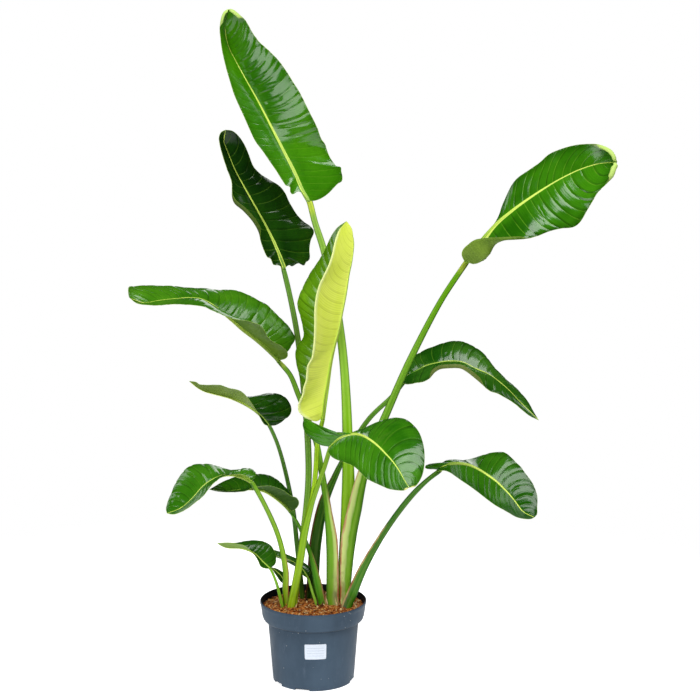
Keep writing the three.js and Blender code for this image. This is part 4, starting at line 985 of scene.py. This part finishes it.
def build_pot():
    """The lathed pot, with drainage slots cut at its foot."""
    vertices, faces = lathe(pot_profile(), 144)
    pot = add_object("nursery_pot", vertices, faces, [pot_material()])
    cutters = []
    for angle in map(math.radians, SLOT["angles"]):
        bpy.ops.mesh.primitive_cube_add(size=1)
        box = bpy.context.object
        box.scale = (SLOT["width"] * MM, 2 * SLOT["depth"] * MM, 2 * SLOT["height"] * MM)
        box.rotation_euler = (0, 0, angle)
        box.location = (POT["foot"] * MM * math.sin(angle), -POT["foot"] * MM * math.cos(angle), 0)
        cutters.append(box)
        cut = pot.modifiers.new("slot", "BOOLEAN")
        cut.object, cut.operation, cut.solver = box, "DIFFERENCE", "EXACT"
    bake_modifiers(pot)
    for box in cutters:
        bpy.data.objects.remove(box)
    pot.data.set_sharp_from_angle(angle=math.radians(34))
    place(pot, "pot_plastic", "pot")


# ---- label ----
LINES = {"heights": (-11, -4, 3, 10), "half_width": 0.35, "reach": 0.4, "strength": 0.8}


def label_material():
    graph = Graph("label_paper_look", Specular_IOR_Level=0.35)
    fibre = graph.noise(420.0, 4.0, 0.6)
    paper = graph.ramp(fibre, (0.3, (188, 197, 210)), (0.7, (206, 213, 224)))
    tint = graph.mix(graph.layer("ruled"), paper, (120, 132, 150))
    return graph.finish(tint, fibre, (0.42, 0.6), graph.bump(fibre, 0.00008, 0.5))


def build_label():
    """A blank write-on sticker with round corners and a few faint ruled lines."""
    width, height, corner = (LABEL[k] for k in ("width", "height", "corner"))
    columns, rows = 72, 54
    x = np.linspace(-0.5, 0.5, columns + 1)[:, None] * width
    share = np.linspace(-0.5, 0.5, rows + 1)[None, :]
    past = np.maximum(np.abs(x) - (width / 2 - corner), 0)
    z = LABEL["z"] + share * (height - 2 * corner + 2 * np.sqrt(np.maximum(corner ** 2 - past ** 2, 0.04)))
    rng = np.random.default_rng(5)
    bubble = wander(rng, np.linspace(0, 1, columns + 1), 7)[:, None]
    bubble = bubble * wander(rng, share[0] + 0.5, 5)[None, :]
    angle = (LABEL["x"] + x) / body_radius(LABEL["z"])
    sheets = []
    for lift in (LABEL["thickness"], 0.15):
        radius = body_radius(z) + lift + 0.12 * bubble
        sheets.append(np.stack([radius * np.sin(angle), -radius * np.cos(angle), z], -1).reshape(-1, 3))
    count = z.size
    step = rows + 1
    quads = grid_faces(columns + 1, step)[:, [0, 3, 2, 1]]
    border = [(c * step, (c + 1) * step) for c in range(columns)]
    border += [(columns * step + r, columns * step + r + 1) for r in range(rows)]
    border += [((c + 1) * step + rows, c * step + rows) for c in range(columns)]
    border += [(r + 1, r) for r in range(rows)]
    faces = [tuple(q) for q in quads] + [tuple(q[::-1] + count) for q in quads]
    faces += [(b, a, a + count, b + count) for a, b in border]
    lines = sum(np.exp(-((share * height - at) / LINES["half_width"]) ** 2) for at in LINES["heights"])
    ruled = LINES["strength"] * lines * (np.abs(x) < LINES["reach"] * width)
    layers = {"ruled": np.append(ruled, np.zeros(count))}
    label = add_object("blank_label", np.vstack(sheets), faces, [label_material()], layers=layers, sharp=40)
    place(label, "label_paper", "label")


# ---- soil ----
CHIP_CORNERS = np.array([[a, b, c] for a in (-1, 1) for b in (-1, 1) for c in (-1, 1)], float)
CHIP_FACES = [(0, 1, 3, 2), (4, 6, 7, 5), (0, 4, 5, 1), (2, 3, 7, 6), (0, 2, 6, 4), (1, 5, 7, 3)]
CHIP = {"count": 2600, "usual": (1.6, 6.5), "long": (6, 10), "usual_share": 0.9}
SOIL_RADIUS = collar_radius(SOIL["edge"]) - POT["wall"]
# Dry shreds of sheath round the stalks' feet: x and y of the foot, height, width, lean and tone.
SHREDS = [
    (32, -7, 30, 5, 4, 0.8), (38, -12, 22, 4, -5, 0.9), (47, 6, 34, 4, 3, 0.75),
    (60, -14, 26, 4, -4, 0.95), (22, -30, 18, 5, 6, 0.15), (14, -24, 24, 4, -6, 0.1),
    (96, -24, 15, 7, 8, 0.6), (112, -30, 18, 4, -7, 0.9), (-70, -52, 16, 4, 5, 0.5),
    (-82, -30, 20, 4, -5, 0.6), (-46, -36, 14, 5, 6, 0.85), (66, 20, 30, 5, 5, 0.3),
    (-20, 20, 34, 5, -6, 0.05), (8, 26, 40, 6, 5, 0.05), (-96, 6, 18, 5, 8, 0.7),
    (30, 40, 26, 5, -5, 0.4),
]


def soil_height(x, y):
    """The mound's height, higher in the middle, with lumps."""
    radii = [0, SOIL["crown_radius"], POT["rim"]]
    base = np.interp(np.hypot(x, y), radii, [SOIL["middle"], SOIL["crown"], SOIL["edge"]])
    lumps = 1.6 * np.sin(x / 9.0 + 1.3 * np.sin(y / 13.0)) * np.cos(y / 8.0 - 0.9 * np.sin(x / 11.0))
    return base + lumps * 0.9


def soil_material():
    graph = Graph("potting_soil_look", Specular_IOR_Level=0.2)
    clumps = graph.noise(130.0, 5.0, 0.65)
    tint = graph.ramp(clumps, (0.3, (64, 28, 10)), (0.5, (138, 70, 26)), (0.75, (194, 118, 50)))
    return graph.finish(tint, clumps, (0.8, 0.97), graph.bump(clumps, 0.003, 0.9))


def fibre_material(name, specular, stops, grain, band, shade, rough, bump):
    """Dry plant matter with a tone for each piece and darker grain, as much of it as band says."""
    graph = Graph(name, Specular_IOR_Level=specular)
    fibre = graph.noise(*grain)
    tint = graph.mix(graph.band(fibre, *band), graph.ramp(graph.layer("kind"), *stops), shade)
    return graph.finish(tint, fibre, rough, graph.bump(fibre, *bump))


def build_mound(rng):
    """The soil's lumpy top, down to a plain round block inside the pot."""
    sides, rings = 200, 56
    radius = (np.arange(1, rings + 1) / rings) ** 0.8 * (SOIL_RADIUS - 0.4)
    angle = np.arange(sides) / sides * TAU
    x, y = radius[::-1, None] * np.cos(angle), radius[::-1, None] * np.sin(angle)
    top = np.stack([x, y, soil_height(x, y) + rng.normal(0, 0.45, x.shape)], -1)
    bottom = SOIL["edge"] - SOIL["depth"]
    low = top[:1] * (0.97, 0.97, 0) + (0, 0, bottom)
    points = np.concatenate([low, top]).reshape(-1, 3)
    vertices = np.vstack([points, [(0, 0, bottom), (0, 0, SOIL["middle"])]])
    faces = ring_faces(rings + 1, sides, (len(points), len(points) + 1))
    place(add_object("potting_mix", vertices, faces, [soil_material()]), "potting_soil", "soil")


def build_chips(rng):
    """Blocks of coir with uneven corners, strewn over the soil."""
    vertices, faces, tones = [], [], []
    for _ in range(CHIP["count"]):
        r = (SOIL_RADIUS - 3) * math.sqrt(rng.uniform(0, 1))
        a = rng.uniform(0, TAU)
        lengths = CHIP["usual"] if rng.uniform() < CHIP["usual_share"] else CHIP["long"]
        long = rng.uniform(*lengths)
        size = np.array([long, rng.uniform(0.25, 0.45) * long, rng.uniform(0.5, 1.2)])
        spin, tilt = rng.uniform(0, TAU), rng.normal(0, 0.3)
        block = CHIP_CORNERS * size * rng.uniform(0.55, 1.0, (8, 3))
        block[:, 2] += block[:, 0] * tilt
        c, s = math.cos(spin), math.sin(spin)
        block[:, :2] = block[:, :2] @ np.array([[c, s], [-s, c]])
        if r + long > SOIL_RADIUS - 0.5:
            continue
        x, y = r * math.cos(a), r * math.sin(a)
        block += (x, y, soil_height(x, y) + rng.uniform(0.2, 1.6))
        faces += [tuple(len(vertices) + k for k in f) for f in CHIP_FACES]
        vertices.extend(block)
        tones += [rng.uniform() ** 0.8] * len(block)
    skin = fibre_material(
        "coir_chip_look", 0.25,
        [(0.0, (76, 34, 12)), (0.35, (174, 94, 36)), (0.7, (218, 134, 56)), (0.87, (238, 176, 92)),
         (1.0, (255, 236, 186))],
        grain=(340.0, 4.0, 0.6), band=(0.35, 0.7, 0.5, 0.0), shade=(70, 32, 14),
        rough=(0.65, 0.9), bump=(0.0008, 0.8))
    chips = add_object("coir_chips", vertices, faces, [skin], layers={"kind": tones}, sharp=50)
    place(chips, "potting_soil")


def build_shreds(rng):
    """Thin strips of old sheath that stand in the soil, pointed and curled at the top."""
    steps = 12
    share = np.linspace(0, 1, steps)
    section = ((-1, 0.3), (0, 0.3), (1, 0.3), (1, -0.3), (0, -0.3), (-1, -0.3))
    vertices, faces, tones = [], [], []
    for x, y, tall, wide, lean, tone in SHREDS:
        turn = rng.uniform(-0.7, 0.7)
        across = np.array([math.cos(turn), math.sin(turn), 0])
        facing = np.array([math.sin(turn), -math.cos(turn), 0])
        height = soil_height(x, y) - 3 + (tall + 3) * share
        line = np.stack([x + lean * share ** 2, np.full(steps, y), height], -1)
        line += facing * (0.16 * tall * np.sin(share * 3.4 + rng.uniform(0, 1)) ** 2)[:, None]
        half = (wide / 2 * (1 - share ** 1.6) + 0.25) * (1 + 0.25 * wander(rng, share, 5))
        first = len(vertices)
        for p, w in zip(line, half):
            for s, t in section:
                vertices.append(p + across * s * w + facing * (t + 0.35 * w * (1 - abs(s))))
        faces += ring_faces(steps, len(section), (len(vertices), len(vertices) + 1), first)
        vertices += [line[0], line[-1]]
        tones += [tone] * (len(section) * steps + 2)
    skin = fibre_material(
        "dry_sheath_look", 0.2,
        [(0.0, (40, 24, 14)), (0.35, (112, 66, 36)), (0.7, (186, 140, 84)), (1.0, (226, 206, 150))],
        grain=(420.0, 4.0, 0.6, (1, 1, 0.2)), band=(0.3, 0.6, 0.6, 0.0), shade=(84, 50, 28),
        rough=(0.6, 0.85), bump=(0.0006, 0.7))
    shreds = add_object("dry_sheath_shreds", vertices, faces, [skin], layers={"kind": tones}, sharp=60)
    place(shreds, "potting_soil")


# ---- the plant in its pot ----
for leaf in LEAVES:
    build_stalk(leaf, build_blade(leaf))
build_pot()
build_label()
soil_rng = np.random.default_rng(11)
build_mound(soil_rng)
build_chips(soil_rng)
build_shreds(np.random.default_rng(23))


# ---- studio, in metres ----
FLOOR_RADIUS = 1.8
# Each softbox has its place, the point that it faces, its width, its height and its power.
SOFTBOXES = {
    "window_light": ((1.56, -2.51, 4.81), (0.15, -0.05, 0.8), 3.5, 2.3, 235),
    "key_light": ((-1.68, -2.46, 1.15), (-0.05, 0.04, 1.15), 1.5, 2.2, 48),
    "left_light": ((-2.36, 0.66, 2.55), (-0.1, 0, 0.9), 1.2, 1.6, 24),
    "side_light": ((1.95, -0.3, 3.05), (-0.1, 0, 1.0), 0.9, 0.9, 7),
    "back_light": ((0.7, 3.0, 2.1), (0.05, 0, 0.9), 2.0, 1.8, 30),
}
CAMERA = {"at": (0.0968, -4.0, 1.474), "tilt": 8.46, "lens": 80.76, "sensor": 36}
SKY = {"seen": 1.0, "on_the_object": 0.04}


def add_to_scene(name, data, location, rotation):
    obj = bpy.data.objects.new(name, data)
    obj.location = location
    obj.rotation_euler = rotation
    bpy.context.scene.collection.objects.link(obj)
    return obj


def build_floor():
    """A round piece of pale paper that fades out before its rim."""
    graph = Graph("floor_paper", Specular_IOR_Level=0.05, Roughness=0.9, Emission_Color=(1, 1, 1, 1),
                  Emission_Strength=0.75)
    grey = [(at, (tone, tone, tone, 1)) for at, tone in ((0.3, 0.92), (0.7, 0.95))]
    graph.feed(graph.shader.inputs["Base Color"], graph.ramp(graph.noise(3.0), *grey))
    fade = graph.band(graph.distance(), FLOOR_RADIUS * 0.6, FLOOR_RADIUS, 1.0, 0.0)
    graph.feed(graph.shader.inputs["Alpha"], fade)
    angles = np.arange(96) / 96 * TAU
    rim = np.stack([np.cos(angles), np.sin(angles), 0 * angles], -1) * FLOOR_RADIUS / MM
    add_object("floor", rim, [range(len(rim))], [graph.material])


def add_softbox(name, location, target, width, height, power):
    light = bpy.data.lights.new(name, "AREA")
    light.shape, light.energy = "RECTANGLE", power
    light.size, light.size_y = width, height
    aim = (Vector(target) - Vector(location)).to_track_quat("-Z", "Y")
    add_to_scene(name, light, location, aim.to_euler())


def build_world():
    """White behind the object, and a fainter light from all round on it."""
    world = bpy.data.worlds.new("studio")
    bpy.context.scene.world = world
    world.use_nodes = True
    nodes, links = world.node_tree.nodes, world.node_tree.links
    background = nodes["Background"]
    background.inputs["Color"].default_value = (1, 1, 1, 1)
    strength = nodes.new("ShaderNodeMapRange")
    strength.inputs["To Min"].default_value = SKY["on_the_object"]
    strength.inputs["To Max"].default_value = SKY["seen"]
    links.new(nodes.new("ShaderNodeLightPath").outputs["Is Camera Ray"], strength.inputs["Value"])
    links.new(strength.outputs[0], background.inputs["Strength"])


def add_camera():
    lens = bpy.data.cameras.new("camera")
    lens.lens, lens.sensor_width, lens.clip_end = CAMERA["lens"], CAMERA["sensor"], 200
    rotation = (math.radians(90 - CAMERA["tilt"]), 0, 0)
    bpy.context.scene.camera = add_to_scene("camera", lens, CAMERA["at"], rotation)


build_floor()
build_world()
for name, settings in SOFTBOXES.items():
    add_softbox(name, *settings)
add_camera()
bpy.context.scene.view_settings.view_transform = "Standard"
